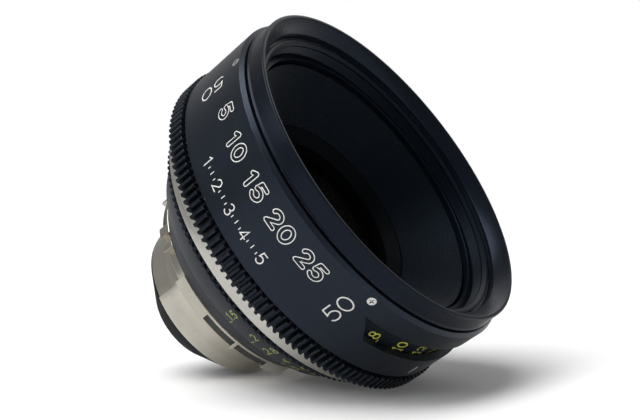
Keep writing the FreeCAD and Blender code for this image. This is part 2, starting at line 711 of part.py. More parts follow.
def build_focus_ring():
    toothed_ring("focus_gear_ring", focus_teeth, focus_tip, sleeve_radius, focus_low, focus_high)
    turned("focus_sleeve", [
        (sleeve_bore, focus_low), (sleeve_radius, focus_low),
        (sleeve_radius, sleeve_top), (sleeve_bore, sleeve_top)])
    turned("focus_scale_ring", [
        (sleeve_radius, focus_high), (scale_radius, focus_high),
        (scale_radius, sleeve_top - d.edge_break), (scale_radius - d.edge_break, sleeve_top),
        (sleeve_radius, sleeve_top)])
    inset = number(d.stop_inset)
    block = sector(number(sleeve_bore) + inset, number(scale_radius) - inset, number(sleeve_top),
                   number(sleeve_top) + number(d.stop_height), number(d.stop_start), number(d.stop_width))
    feature("focus_stop_block", block)


# Iris ring: gear, tapered scale and the axial groove for the driving pin
def build_iris_ring():
    toothed_ring("iris_gear_ring", iris_teeth, iris_tip, iris_seat, iris_low, iris_high)
    body = turned("iris_scale_ring", [
        (iris_bore, cone_low),
        (cone_low_radius, cone_low),
        (cone_top_radius, iris_low - d.cone_neck),
        (cone_top_radius, iris_low),
        (iris_seat, iris_low),
        (iris_seat, iris_high),
        (iris_bore, iris_high),
    ])
    pin_middle = d.cam_low + d.cam_thick / 2
    width = (d.cam_pin + d.pin_play) / (cam_pin_end * math.pi) * 360
    pin_groove = box_outline(
        iris_bore - d.overcut, cam_pin_end + d.edge_break,
        pin_middle - d.cam_pin - d.key_gap + travel_back,
        pin_middle + d.cam_pin + d.key_gap + travel_forward)
    groove(body, "pin_groove", pin_groove, d.cam_pin_angle, width)


# Rear barrel and mount
def build_rear_barrel():
    body = turned("rear_barrel", [
        (spigot_radius, d.core_low),
        (rear_top_radius, d.core_low),
        (rear_low_radius, rear_low + d.rear_rim),
        (rear_low_radius, rear_low),
        (d.rear_web_bore, rear_low),
        (d.rear_web_bore, d.spigot_low),
        (spigot_radius, d.spigot_low),
    ])
    for index, spot in enumerate(mount_screw_spots()):
        drill_axial(body, f"screw_thread_{index}", spot, d.mount_screw_shank, rear_low - d.overcut,
                    d.spigot_low - rear_low + d.overcut * 2)


def mount_screw_spots():
    step = 360 / number(d.mount_screw_count)
    return [polar(number(d.mount_screw_circle), number(d.mount_screw_angle) + step * index)
            for index in times(d.mount_screw_count)]


def build_mount_shim():
    base, thick = Vector(0, 0, number(mount_top)), number(d.shim_thick)
    ring = Part.makeCylinder(number(d.mount_radius), thick, base)
    ring = ring.cut(Part.makeCylinder(number(d.rear_web_bore), thick, base))
    for spot in mount_screw_spots():
        ring = ring.cut(Part.makeCylinder(number(d.mount_screw_shank), thick, spot + base))
    feature("mount_shim", ring)


def build_mount_flange():
    body = turned("mount_flange", [
        (d.tube_bore, d.tube_low),
        (d.tube_radius - d.edge_break, d.tube_low),
        (d.tube_radius, d.tube_low + d.edge_break),
        (d.tube_radius, d.seat_height),
        (d.mount_radius, d.seat_height),
        (d.mount_radius, mount_top - d.edge_break),
        (d.mount_radius - d.edge_break, mount_top),
        (d.tube_bore, mount_top),
    ])
    outside = d.mount_radius + d.overcut
    below, above = d.seat_height - d.overcut, mount_top + d.overcut
    gap = box_outline(d.gap_radius, outside, below, above)
    relief = box_outline(d.relief_floor, outside, below, d.seat_height + d.relief_height)
    for ear in times(d.ear_count):
        turn = 360 / number(d.ear_count) * ear
        groove(body, f"ear_gap_{ear}", gap, d.gap_angle + turn, d.gap_width)
        groove(body, f"first_relief_{ear}", relief, d.relief_angle + turn, d.relief_width)
        groove(body, f"second_relief_{ear}", relief, d.relief_angle + d.relief_pitch + turn, d.relief_width)
    notch = box_outline(d.key_notch_floor, outside, below, above)
    groove(body, "locating_notch", notch, d.key_notch_angle, d.key_notch / (d.mount_radius * math.pi) * 180)
    flat = box_outline(d.tube_radius - d.tube_flat_depth, d.tube_radius + d.overcut,
                       d.tube_low - d.overcut, d.tube_flat_low)
    groove(body, "tube_relief", flat, d.tube_flat_start - d.tube_flat_span / 2, d.tube_flat_span)
    for index, spot in enumerate(mount_screw_spots()):
        drill_axial(body, f"screw_hole_{index}", spot, d.mount_screw_shank, below, above - below)
        drill_axial(body, f"screw_sink_{index}", spot, d.mount_screw_head, below,
                    d.mount_screw_sink + d.overcut)


def drill_axial(body, name, spot, radius, low, length):
    cutter = body.newObject("PartDesign::SubtractiveCylinder", name)
    bind(cutter, "Radius", radius)
    bind(cutter, "Height", length)
    cutter.AttachmentSupport = [(origin_plane(body, "XY_Plane"), "")]
    cutter.MapMode = "FlatFace"
    cutter.AttachmentOffset = Placement(Vector(spot.x, spot.y, number(low)), Rotation())
    bind(cutter, "AttachmentOffset.Base.z", low)


def build_mount_screws():
    low = number(d.seat_height)
    head = Part.makeCylinder(number(d.mount_screw_head), number(d.mount_screw_sink), Vector(0, 0, low))
    shank = Part.makeCylinder(number(d.mount_screw_shank), number(d.mount_screw_length), Vector(0, 0, low))
    recess = cross_recess(number(d.mount_screw_head), number(d.mount_screw_sink))
    recess.translate(Vector(0, 0, low + number(d.mount_screw_sink * d.recess_share)))
    screw = head.fuse(shank).cut(recess).removeSplitter()
    group = []
    for spot in mount_screw_spots():
        copy = screw.copy()
        copy.translate(spot)
        group.append(copy)
    feature("mount_screws", Part.makeCompound(group))


def build_rear_shroud():
    turned("rear_shroud", [
        (d.shroud_mouth, 0),
        (d.shroud_end - d.shroud_end_bevel, 0),
        (d.shroud_end, d.shroud_end_bevel),
        (d.shroud_rim - d.edge_break, d.shroud_shoulder),
        (d.shroud_rim, d.tube_low),
        (d.tube_bore, d.tube_low),
        (d.tube_bore, d.shroud_top),
        (d.tube_bore - d.shroud_wall, d.shroud_top),
        (d.tube_bore - d.shroud_wall, d.shroud_shoulder),
        (d.shroud_mouth, d.shroud_end_bevel * 2),
    ])


# Front funnel: ridged inside against stray light
def build_front_funnel():
    top, low = number(funnel_top), number(d.funnel_low)
    wide = number(funnel_radius) - number(d.funnel_land)
    narrow = number(funnel_mouth)
    count = int(number(d.funnel_ridges))
    step_r, step_h = (wide - narrow) / count, (top - low) / count
    skirt = number(skirt_wall_radius)
    profile = [Vector(number(d.cell_radius), 0, number(d.funnel_skirt)),
               Vector(skirt, 0, number(d.funnel_skirt)),
               Vector(skirt, 0, number(d.cell_top)),
               Vector(number(funnel_radius), 0, top - number(d.funnel_wall)),
               Vector(number(funnel_radius), 0, top)]
    for index in range(count):
        edge = wide - index * step_r
        height = top - index * step_h
        profile.append(Vector(edge, 0, height))
        profile.append(Vector(edge - step_r * 0.25, 0, height - step_h))
    profile.append(Vector(narrow, 0, low))
    profile.append(Vector(narrow, 0, number(d.cell_top)))
    profile.append(Vector(number(d.cell_radius), 0, number(d.cell_top)))
    profile.append(profile[0])
    shell = Part.Face(Part.makePolygon(profile)).revolve(Vector(), Vector(0, 0, 1), 360)
    feature("front_funnel", shell)


def build_front_cell():
    turned("front_cell", [
        (d.cell_radius, d.cell_low),
        (d.cell_radius, d.cell_top),
        (front_thread, d.cell_top),
        (front_thread, d.front_thread_low),
        (front_glass, d.front_thread_low),
        (front_glass, d.front_seat),
        (front_glass - d.seat_width, d.front_seat),
        (d.doublet_glass, d.doublet_seat + d.doublet_bore),
        (d.doublet_glass, d.doublet_seat),
        (d.doublet_clear, d.doublet_seat),
        (d.doublet_clear, d.cell_low),
    ])
    turned("front_retaining_ring", [
        (front_clear, ring_foot),
        (front_glass, ring_foot),
        (front_glass, d.front_thread_low),
        (front_thread, d.front_thread_low),
        (front_thread, d.cell_top + d.ring_proud),
        (front_thread - d.ring_land, d.cell_top + d.ring_proud),
        (front_clear, d.front_thread_low + d.ring_cone),
    ])
    low = d.doublet_seat + d.doublet_ring_low
    turned("doublet_retaining_ring", box_outline(
        d.doublet_glass - d.doublet_ring_wall, d.doublet_glass, low, low + d.doublet_ring_thick))


# Glass: each element is a cylinder bounded by spherical or flat faces
def glass(label, radius, low, high, front, rear):
    """A face is its vertex height and its radius, positive when it bulges outwards; radius 0 is flat."""
    blank = Part.makeCylinder(number(radius), number(high - low), Vector(0, 0, number(low)))
    for (vertex, curve), upper in ((front, True), (rear, False)):
        if curve == 0:
            continue
        reach = number(curve) if upper else -number(curve)
        ball = Part.makeSphere(abs(reach), Vector(0, 0, number(vertex) - reach))
        blank = blank.common(ball) if number(curve) > 0 else blank.cut(ball)
    feature(label, blank)


def build_glass():
    seat, doublet, floor = d.front_seat, d.doublet_seat, d.iris_floor
    glass("lens_1", front_glass, seat, seat + d.front_vertex,
          (seat + d.front_vertex, d.front_curve), (seat + d.front_back_vertex, -d.front_back_curve))
    glass("lens_2", d.doublet_glass, doublet + d.doublet_joint, doublet + d.doublet_vertex,
          (doublet + d.doublet_vertex, d.doublet_curve), (doublet + d.doublet_joint, 0))
    glass("lens_3", d.doublet_glass, doublet, doublet + d.doublet_joint,
          (doublet + d.doublet_joint, 0), (doublet + d.doublet_back_vertex, -d.doublet_back_curve))
    glass("lens_4", d.rear_glass, floor - d.inner_joint, floor - d.inner_top,
          (floor - d.inner_vertex, -d.inner_curve), (floor - d.inner_joint, 0))
    glass("lens_5", d.rear_glass, floor - d.inner_back_vertex, floor - d.inner_joint,
          (floor - d.inner_joint, 0), (floor - d.inner_back_vertex, d.inner_curve))
    glass("lens_6", d.rear_glass, floor - d.sixth_back_vertex, floor - d.sixth_vertex,
          (floor - d.sixth_vertex, d.sixth_curve), (floor - d.sixth_back_vertex, d.sixth_curve))
    glass("lens_7", d.tail_glass, d.tail_back_vertex, d.tail_vertex,
          (d.tail_vertex, d.tail_curve), (d.tail_back_vertex, d.tail_back_curve))


def build_rear_cell():
    floor = d.iris_floor
    turned("rear_cell", [
        (d.cell_radius, floor),
        (d.cell_radius, floor - d.rear_flange),
        (d.rear_glass + d.rear_wall, floor - d.rear_flange),
        (d.rear_glass + d.rear_wall, d.rear_taper),
        (d.tail_glass + d.tail_wall, d.rear_end),
        (d.tail_glass - d.tail_lip, d.rear_end),
        (d.tail_glass - d.tail_lip, d.tail_seat),
        (d.tail_glass, d.tail_seat),
        (d.tail_glass, d.tail_top),
        (d.rear_glass - d.rear_lip, d.tail_top),
        (d.rear_glass - d.rear_lip, floor - d.rear_seat),
        (d.rear_glass, floor - d.rear_seat),
        (d.rear_glass, floor),
    ])
    turned("rear_spacer", box_outline(
        d.rear_glass - d.spacer_wall, d.rear_glass, floor - d.rear_spacer_low, floor - d.rear_spacer_top))
    turned("rear_retaining_ring", box_outline(
        d.rear_glass - d.rear_ring_wall, d.rear_glass, floor - d.rear_ring_thick, floor))
    turned("tail_retaining_ring", box_outline(
        d.tail_glass - d.spacer_wall, d.tail_glass, d.tail_ring_low, d.tail_ring_top))


def build_carrier():
    body = turned("optics_carrier", [
        (d.cell_radius, d.carrier_low),
        (carrier_tail, d.carrier_low),
        (carrier_tail, d.carrier_step),
        (carrier_radius, d.carrier_step),
        (carrier_radius, d.guide_low),
        (guide_radius, d.guide_low),
        (guide_radius, d.guide_high),
        (skirt_wall_radius, d.guide_high),
        (skirt_wall_radius, d.funnel_skirt),
        (d.cell_radius, d.funnel_skirt),
    ])
    foot = box_outline(guide_radius - d.key_depth, guide_radius + d.overcut,
                       d.key_low, d.key_low + d.key_height)
    for index in times(d.key_count):
        groove(body, f"key_seat_{index}", foot, d.key_angle + 360 / number(d.key_count) * index, d.key_span)
    pin_middle = d.cam_low + d.cam_thick / 2
    slot = box_outline(d.cell_radius - d.overcut, carrier_radius + d.overcut,
                       pin_middle - d.cam_pin - d.edge_break, pin_middle + d.cam_pin + d.edge_break)
    middle = d.cam_pin_angle + (d.iris_back + d.iris_forward) / 2
    groove(body, "pin_slot", slot, middle, d.iris_forward - d.iris_back + d.slot_margin * 2)


def build_helicoid_keys():
    keys = []
    for index in times(d.key_count):
        keys.append(sector(
            number(guide_radius - d.key_depth), number(sleeve_bore - d.key_run), number(d.key_low),
            number(d.key_low + d.key_height), number(d.key_angle) + 360 / number(d.key_count) * index,
            number(d.key_span)))
    feature("helicoid_keys", Part.makeCompound(keys))


# Iris: housing, cover, cam ring, driving pin and blades
def blade_turn(index):
    return 360 / number(d.blade_count) * index


def build_iris_housing():
    body = turned("iris_housing", [
        (d.iris_aperture, d.iris_floor),
        (d.cell_radius, d.iris_floor),
        (d.cell_radius, d.cell_low),
        (iris_inner, d.cell_low),
        (iris_inner, plate_top),
        (d.iris_aperture, plate_top),
    ])
    pin_middle = d.cam_low + d.cam_thick / 2
    slot = box_outline(iris_inner - d.overcut, d.cell_radius + d.overcut,
                       pin_middle - d.cam_pin - d.edge_break, pin_middle + d.cam_pin + d.edge_break)
    middle = d.cam_pin_angle + (d.iris_back + d.iris_forward) / 2
    groove(body, "pin_slot", slot, middle, d.iris_forward - d.iris_back + d.slot_margin * 2)
    for index in times(d.blade_count):
        drill_axial(body, f"pivot_{index}", polar(number(pivot_radius), blade_turn(index)),
                    d.pivot_pin + d.pivot_fit, d.iris_floor - d.overcut, d.iris_plate + d.overcut * 2)
    turned("iris_cover", box_outline(d.iris_aperture, iris_inner, d.cover_low, d.cell_low))


def blade_shape(level):
    """One blade at its resting angle, lying in its own level, with the pivot on the X axis."""
    inner, outer = number(d.blade_inner), number(blade_outer)
    thick, arc = number(d.blade_thick), number(d.blade_angle)
    low = number(d.blade_base) + number(d.blade_pitch) * level
    pivot = number(pivot_radius)
    leaf = sector(inner, outer, low, low + thick, arc / 2, arc)
    tip = polar((inner + outer) / 2, arc, low)
    leaf = leaf.fuse(Part.makeCylinder((outer - inner) / 2, thick, tip))
    pad = Part.makeCylinder(number(d.pivot_pad), thick, Vector(pivot, 0, low))
    reach = outer - number(d.pivot_pad)
    corner = Vector(reach, -number(d.pivot_pad), low)
    bridge = Part.makeBox(pivot - reach, number(d.pivot_pad) * 2, thick, corner)
    pin_low = number(d.iris_floor) + number(d.edge_break)
    pin = Part.makeCylinder(number(d.pivot_pin), low - pin_low, Vector(pivot, 0, pin_low))
    blade = leaf.fuse([pad, bridge, pin]).removeSplitter()
    blade.rotate(Vector(pivot, 0, 0), Vector(0, 0, 1), number(d.blade_rest))
    return blade


def build_blades():
    for index in times(d.blade_count):
        feature(f"iris_blade_{index + 1}", turn_copy(blade_shape(index), blade_turn(index)))


def build_cam_ring():
    thick, half = number(d.cam_thick), number(d.cam_slot)
    base = Vector(0, 0, number(d.cam_low))
    ring = Part.makeCylinder(number(cam_radius), thick, base)
    ring = ring.cut(Part.makeCylinder(number(d.cam_bore), thick, base))
    near, far = number(d.cam_bore + d.cam_margin), number(cam_radius - d.cam_margin)
    for index in times(d.blade_count):
        slot = Part.makeBox(far - near, half * 2, thick, base + Vector(near, -half, 0))
        slot = slot.fuse([Part.makeCylinder(half, thick, base + Vector(near, 0, 0)),
                          Part.makeCylinder(half, thick, base + Vector(far, 0, 0))])
        slot.rotate(Vector((near + far) / 2, 0, 0), Vector(0, 0, 1), number(d.cam_slant))
        ring = ring.cut(turn_copy(slot, blade_turn(index) + number(d.cam_slot_angle)))
    feature("iris_cam_ring", ring.removeSplitter())
    start, end = number(cam_radius), number(cam_pin_end)
    middle = base + Vector(start, 0, thick / 2)
    rod = Part.makeCylinder(number(d.cam_pin), end - start, middle, Vector(1, 0, 0))
    feature("iris_drive_pin", turn_copy(rod, number(d.cam_pin_angle)))


build_front_ring()
build_thread_ring()
build_front_housing()
build_housing_screws()
build_main_barrel()
build_spacer_ring()
build_focus_stop_pins()
build_focus_ring()
build_iris_ring()
build_rear_barrel()
build_mount_shim()
build_mount_flange()
build_mount_screws()
build_rear_shroud()
build_front_funnel()
build_front_cell()
build_glass()
build_rear_cell()
build_carrier()
build_helicoid_keys()
build_iris_housing()
build_cam_ring()
build_blades()
doc.recompute()


# Check every object, then write one file for each sub-part
def sub_parts():
    return [item for item in doc.Objects if item.TypeId in ("PartDesign::Body", "Part::Feature")
            and item.getParentGeoFeatureGroup() is None]


faults = [item.Label for item in doc.Objects if "Invalid" in item.State or "Error" in item.State]
if faults:
    raise RuntimeError(f"objects with errors: {faults}")
for item in sub_parts():
    if item.Shape.isNull() or not item.Shape.isValid():
        raise RuntimeError(f"bad shape: {item.Label}")
    item.Shape.exportStep(f"parts/{item.Label}.step")
    print(item.Label, round(item.Shape.Volume, 1), len(item.Shape.Solids))
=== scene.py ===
"""Looks of a prime lens with geared rings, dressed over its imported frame."""
import logging
import math
from collections.abc import Iterator, Sequence
from dataclasses import dataclass, field
from enum import Enum
from functools import cache

import bmesh
import bpy
from mathutils import Matrix, Vector


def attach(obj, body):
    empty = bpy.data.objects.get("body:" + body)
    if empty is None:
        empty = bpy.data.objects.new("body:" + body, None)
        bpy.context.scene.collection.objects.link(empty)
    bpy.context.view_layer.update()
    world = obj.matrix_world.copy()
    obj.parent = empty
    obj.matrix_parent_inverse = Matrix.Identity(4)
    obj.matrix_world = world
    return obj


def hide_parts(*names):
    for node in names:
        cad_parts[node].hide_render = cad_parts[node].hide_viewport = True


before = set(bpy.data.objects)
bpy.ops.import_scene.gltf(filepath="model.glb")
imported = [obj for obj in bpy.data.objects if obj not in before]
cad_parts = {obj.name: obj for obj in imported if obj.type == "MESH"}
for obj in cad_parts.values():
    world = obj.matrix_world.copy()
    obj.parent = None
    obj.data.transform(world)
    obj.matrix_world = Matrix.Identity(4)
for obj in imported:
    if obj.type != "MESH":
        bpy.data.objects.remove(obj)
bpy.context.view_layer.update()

MM = 0.001
LOG = logging.getLogger("prime_lens")
Outline = Stroke = list[tuple[float, float]]
Colour = tuple[float, float, float]
Socket = bpy.types.NodeSocket
Node = bpy.types.Node
Tree = bpy.types.NodeTree
Material = bpy.types.Material
Piece = bpy.types.Object


# Shader effects, each one node group
@dataclass
class NodeSheet:
    """A node tree with short calls for adding and joining nodes."""

    # Places of the colour sockets on a Mix node
    MIX_SHARE, MIX_FIRST, MIX_SECOND, MIX_RESULT = 0, 6, 7, 2
    tree: Tree

    def add(self, kind: str, feeds: dict | None = None, **values: object) -> Node:
        """Add a node.

        Args:
            kind: Blender's type name of the node, without ShaderNode.
            feeds: What its inputs get, as in feed.
            values: Attributes of the node, set by name.

        Returns:
            The new node.
        """
        node = self.tree.nodes.new(f"ShaderNode{kind}")
        for name, value in values.items():
            setattr(node, name, value)
        self.feed(node, feeds or {})
        return node

    def feed(self, node: Node, feeds: dict) -> None:
        """Set or link inputs of a node.

        Args:
            node: The node.
            feeds: A socket or a value for each input, by its name or place.
        """
        for name, item in feeds.items():
            if isinstance(item, Socket):
                self.tree.links.new(item, node.inputs[name])
            else:
                node.inputs[name].default_value = item

    def skin(self, feeds: dict) -> None:
        """Set or link inputs of the material's shader."""
        self.feed(self.tree.nodes["Principled BSDF"], feeds)

    def effect(self, group: Tree, **feeds: float) -> Node:
        """Add a shared effect with its settings."""
        return self.add("Group", feeds, node_tree=group)

    def sums(self, operation: str, *inputs: object) -> Socket:
        """Add a Math node with a socket or a number for each input."""
        return self.add("Math", dict(enumerate(inputs)), operation=operation).outputs[0]

    def stretch(self, value: Socket, low: float, high: float) -> Socket:
        """Turn a value into one that is 0 at low and 1 at high."""
        return self.add("MapRange", {"Value": value, "From Min": low, "From Max": high}).outputs[0]

    def blend(self, share: object, first: object, second: object) -> Socket:
        """Mix two colours.

        Args:
            share: Share of the second colour, a socket or a number.
            first: First colour, a socket or three numbers.
            second: Second colour, likewise.

        Returns:
            The mixed colour's socket.
        """
        first, second = [(*item, 1.0) if isinstance(item, tuple) else item for item in (first, second)]
        feeds = {self.MIX_SHARE: share, self.MIX_FIRST: first, self.MIX_SECOND: second}
        return self.add("Mix", feeds, data_type="RGBA").outputs[self.MIX_RESULT]

    def place(self) -> Socket:
        """Give the place of the shaded point on its own piece."""
        return self.add("TexCoord").outputs["Object"]


class EffectKit:
    """The shader effects that several finishes share."""

    def __init__(self) -> None:
        """Build each group once."""
        self.turning = self._turning_marks()
        self.mottle = self._mottle()
        self.dust = self._dust()
        self.wear_and_glint = self._edge_wear_and_glint()

    @staticmethod
    def _group(name: str, inputs: dict[str, float], **outputs: str) -> tuple:
        """Start a group with number inputs.

        Args:
            name: The group's name.
            inputs: Names of the inputs and their first values.
            outputs: Names of the outputs and what they carry.

        Returns:
            The group's sheet, its input node and its output node.
        """
        tree = bpy.data.node_groups.new(name, "ShaderNodeTree")
        for label, value in inputs.items():
            made = tree.interface.new_socket(label, in_out="INPUT", socket_type="NodeSocketFloat")
            made.default_value = value
        for label, kind in outputs.items():
            tree.interface.new_socket(label, in_out="OUTPUT", socket_type=f"NodeSocket{kind}")
        sheet = NodeSheet(tree)
        return sheet, tree.nodes.new("NodeGroupInput"), tree.nodes.new("NodeGroupOutput")

    def _turning_marks(self) -> Tree:
        """Fine lines that a lathe tool leaves round the lens axis.

        Returns:
            The group; Lines and the wider Broad run from 0 to 1 across the marks.
        """
        sheet, given, out = self._group("turning_marks", {"Fineness": 4000.0}, Lines="Float", Broad="Float")
        split = sheet.add("SeparateXYZ", {0: sheet.place()})
        across = sheet.sums("POWER", split.outputs[0], 2.0)
        along = sheet.sums("POWER", split.outputs[1], 2.0)
        radius = sheet.sums("SQRT", sheet.sums("ADD", across, along))
        for label, share in (("Lines", 1.0), ("Broad", 0.08)):
            scale = sheet.sums("MULTIPLY", given.outputs[0], share)
            spot = sheet.add("CombineXYZ", {0: sheet.sums("MULTIPLY", radius, scale),
                                            1: sheet.sums("MULTIPLY", split.outputs[2], scale)})
            noise = sheet.add("TexNoise", {"Scale": 1.0, "Detail": 2.0, "Vector": spot.outputs[0]},
                              noise_dimensions="2D")
            sheet.feed(out, {label: noise.outputs["Fac"]})
        return sheet.tree

    def _mottle(self) -> Tree:
        """Soft uneven tone, as handled anodising has.

        Returns:
            The group; Tone runs from 0 to 1.
        """
        sheet, given, out = self._group("mottle", {"Scale": 60.0}, Tone="Float")
        noise = sheet.add("TexNoise", {"Vector": sheet.place(), "Scale": given.outputs[0], "Detail": 5.0,
                                       "Roughness": 0.6})
        sheet.feed(out, {"Tone": sheet.stretch(noise.outputs["Fac"], 0.3, 0.7)})
        return sheet.tree

    def _dust(self) -> Tree:
        """Sparse pale specks.

        Returns:
            The group; Specks is 1 on a speck.
        """
        sheet, given, out = self._group("dust", {"Scale": 900.0, "Amount": 0.1}, Specks="Float")
        cells = sheet.add("TexVoronoi", {"Vector": sheet.place(), "Scale": given.outputs["Scale"]})
        near = sheet.sums("LESS_THAN", cells.outputs["Distance"], 0.16)
        split = sheet.add("SeparateColor", {0: cells.outputs["Color"]})
        chosen = sheet.sums("LESS_THAN", split.outputs[0], given.outputs["Amount"])
        sheet.feed(out, {"Specks": sheet.sums("MULTIPLY", near, chosen)})
        return sheet.tree

    def _edge_wear_and_glint(self) -> Tree:
        """Edges seen as slightly rounded, and rubbed here and there; the rubbed edges also carry a painted
        highlight that stands for glints.

        Returns:
            The group; its first output is 1 on rubbed edges, where the finish has gone and where the painted
            highlight lies; Normal is the rounded normal.
        """
        sheet, given, out = self._group("edge_wear_and_glint", {"Radius": 0.16 * MM, "Scale": 500.0}, Worn="Float",
                                        Normal="Vector")
        shape = sheet.add("NewGeometry")
        rounded = sheet.add("Bevel", {"Radius": given.outputs["Radius"]}, samples=4)
        turn = sheet.add("VectorMath", {0: rounded.outputs[0], 1: shape.outputs["Normal"]},
                         operation="DOT_PRODUCT")
        edge = sheet.stretch(turn.outputs["Value"], 0.985, 0.86)
        noise = sheet.add("TexNoise", {"Vector": sheet.place(), "Scale": given.outputs["Scale"],
                                       "Detail": 4.0})
        patches = sheet.stretch(noise.outputs["Fac"], 0.42, 0.66)
        sheet.feed(out, {"Worn": sheet.sums("MULTIPLY", edge, patches), "Normal": rounded.outputs[0]})
        return sheet.tree


# Finishes
@dataclass(frozen=True)
class Coat:
    """What every finish has: a name, and a material made on request."""

    name: str

    def make(self, kit: EffectKit) -> Material:
        """Build the material.

        Args:
            kit: The shared effects.

        Returns:
            The material.
        """
        material = bpy.data.materials.new(self.name)
        material.use_nodes = True
        self.lay(NodeSheet(material.node_tree), kit)
        return material

    def lay(self, sheet: NodeSheet, kit: EffectKit) -> None:
        """Fill the material's sheet; each kind of finish does it in its own way."""
        raise NotImplementedError


@dataclass(frozen=True)
class MetalFinish(Coat):
    """A machined metal surface, bare or anodised."""

    colour: Colour
    second: Colour
    roughness: float
    metallic: float = 1.0
    spread: float = 0.08
    fineness: float = 4000.0
    depth: float = 0.02
    # Colour and share of the rubbed edges: partly real rubbing, partly a painted highlight along edges.
    worn_and_glint_colour: Colour = (0.4, 0.4, 0.42)
    wear_and_glint: float = 0.0
    dust: float = 0.0
    dust_colour: Colour = (0.22, 0.23, 0.25)
    specular: float = 0.5
    edge: float = 0.16
    mottle_scale: float = 45.0
    mottle_share: float = 0.6
    line_height: float = 0.2

    def lay(self, sheet: NodeSheet, kit: EffectKit) -> None:
        """Lay turning marks, uneven tone, rubbed edges that also carry a painted highlight, and dust.

        Args:
            sheet: The material's sheet.
            kit: The shared effects.
        """
        lines = sheet.effect(kit.turning, Fineness=self.fineness)
        tone = sheet.effect(kit.mottle, Scale=self.mottle_scale)
        worn_and_glint = sheet.effect(kit.wear_and_glint, Radius=self.edge * MM)
        shade = sheet.sums("ADD", sheet.sums("MULTIPLY", tone.outputs[0], self.mottle_share),
                           sheet.sums("MULTIPLY", lines.outputs["Broad"], 1.0 - self.mottle_share))
        colour = sheet.blend(shade, self.colour, self.second)
        # Lighter colour on rubbed edges: partly real rubbing, partly a painted highlight standing for glints.
        share = sheet.sums("MULTIPLY", worn_and_glint.outputs["Worn"], self.wear_and_glint)
        colour = sheet.blend(share, colour, self.worn_and_glint_colour)
        if self.dust > 0.0:
            specks = sheet.effect(kit.dust, Amount=self.dust)
            colour = sheet.blend(specks.outputs[0], colour, self.dust_colour)
        uneven = sheet.sums("SUBTRACT", lines.outputs["Lines"], 0.5)
        rough = sheet.sums("MULTIPLY_ADD", uneven, self.spread * 2, self.roughness)
        rough = sheet.sums("MULTIPLY_ADD", tone.outputs[0], self.spread / 2, rough)
        bump = sheet.add("Bump", {"Strength": self.depth, "Distance": self.line_height * MM,
                                  "Height": lines.outputs["Lines"], "Normal": worn_and_glint.outputs["Normal"]})
        sheet.skin({"Base Color": colour, "Roughness": rough, "Normal": bump.outputs[0],
                    "Metallic": self.metallic, "Specular IOR Level": self.specular})


@dataclass(frozen=True)
class PaintFinish(Coat):
    """Paint that fills engraved marks, a little uneven; also the dark layer of painted shade in the mount's
    recesses.
    """

    colour: Colour
    second: Colour
    roughness: float = 0.55
    spread: float = 0.15
    grain: float = 900.0
    depth: float = 0.1

    def lay(self, sheet: NodeSheet, kit: EffectKit) -> None:
        """Lay the uneven colour and grain.

        Args:
            sheet: The material's sheet.
            kit: The shared effects.
        """
        tone = sheet.effect(kit.mottle, Scale=self.grain).outputs[0]
        bump = sheet.add("Bump", {"Strength": self.depth, "Distance": 0.1 * MM, "Height": tone})
        sheet.skin({"Base Color": sheet.blend(tone, self.colour, self.second), "Normal": bump.outputs[0],
                    "Roughness": sheet.sums("MULTIPLY_ADD", tone, self.spread, self.roughness)})


@dataclass(frozen=True)
class GlassFinish(Coat):
    """Coated optical glass."""

    colour: Colour = (0.30, 0.34, 0.36)
    film: float = 128.0
    haze: float = 0.04
    shine: float = 0.1
    refraction: float = 1.52
    film_refraction: float = 1.25

    def lay(self, sheet: NodeSheet, kit: EffectKit) -> None:
        """Lay clear glass with a slightly uneven haze.

        Args:
            sheet: The material's sheet.
            kit: The shared effects.
        """
        tone = sheet.effect(kit.mottle, Scale=30.0).outputs[0]
        sheet.skin({"Base Color": (*self.colour, 1.0), "Transmission Weight": 1.0, "IOR": self.refraction,
                    "Specular IOR Level": self.shine, "Thin Film Thickness": self.film,
                    "Thin Film IOR": self.film_refraction,
                    "Roughness": sheet.sums("MULTIPLY_ADD", tone, 0.02, self.haze)})


@dataclass(frozen=True)
class FloorFinish(Coat):
    """A pale table top that keeps a soft shadow and is open from below."""

    name: str = "pale_table"
    colour: Colour = (0.93, 0.93, 0.93)
    second: Colour = (0.9393, 0.9393, 0.9393)
    lift: float = 0.05

    def lay(self, sheet: NodeSheet, kit: EffectKit) -> None:
        """Lay a matt top that glows a little where it is seen.

        Args:
            sheet: The material's sheet.
            kit: The shared effects.
        """
        sheet.tree.nodes.clear()
        tone = sheet.effect(kit.mottle, Scale=20.0).outputs[0]
        top = sheet.add("BsdfDiffuse", {"Color": sheet.blend(tone, self.colour, self.second)})
        path = sheet.add("LightPath").outputs
        seen = sheet.sums("MAXIMUM", path["Is Camera Ray"], path["Is Glossy Ray"])
        seen = sheet.sums("MAXIMUM", seen, path["Is Transmission Ray"])
        glow = sheet.add("Emission", {"Strength": sheet.sums("MULTIPLY", seen, self.lift)})
        both = sheet.add("AddShader", {0: top.outputs[0], 1: glow.outputs[0]})
        clear = sheet.add("BsdfTransparent")
        side = sheet.add("NewGeometry")
        mix = sheet.add("MixShader", {0: side.outputs["Backfacing"], 1: both.outputs[0], 2: clear.outputs[0]})
        sheet.add("OutputMaterial", {"Surface": mix.outputs[0]})


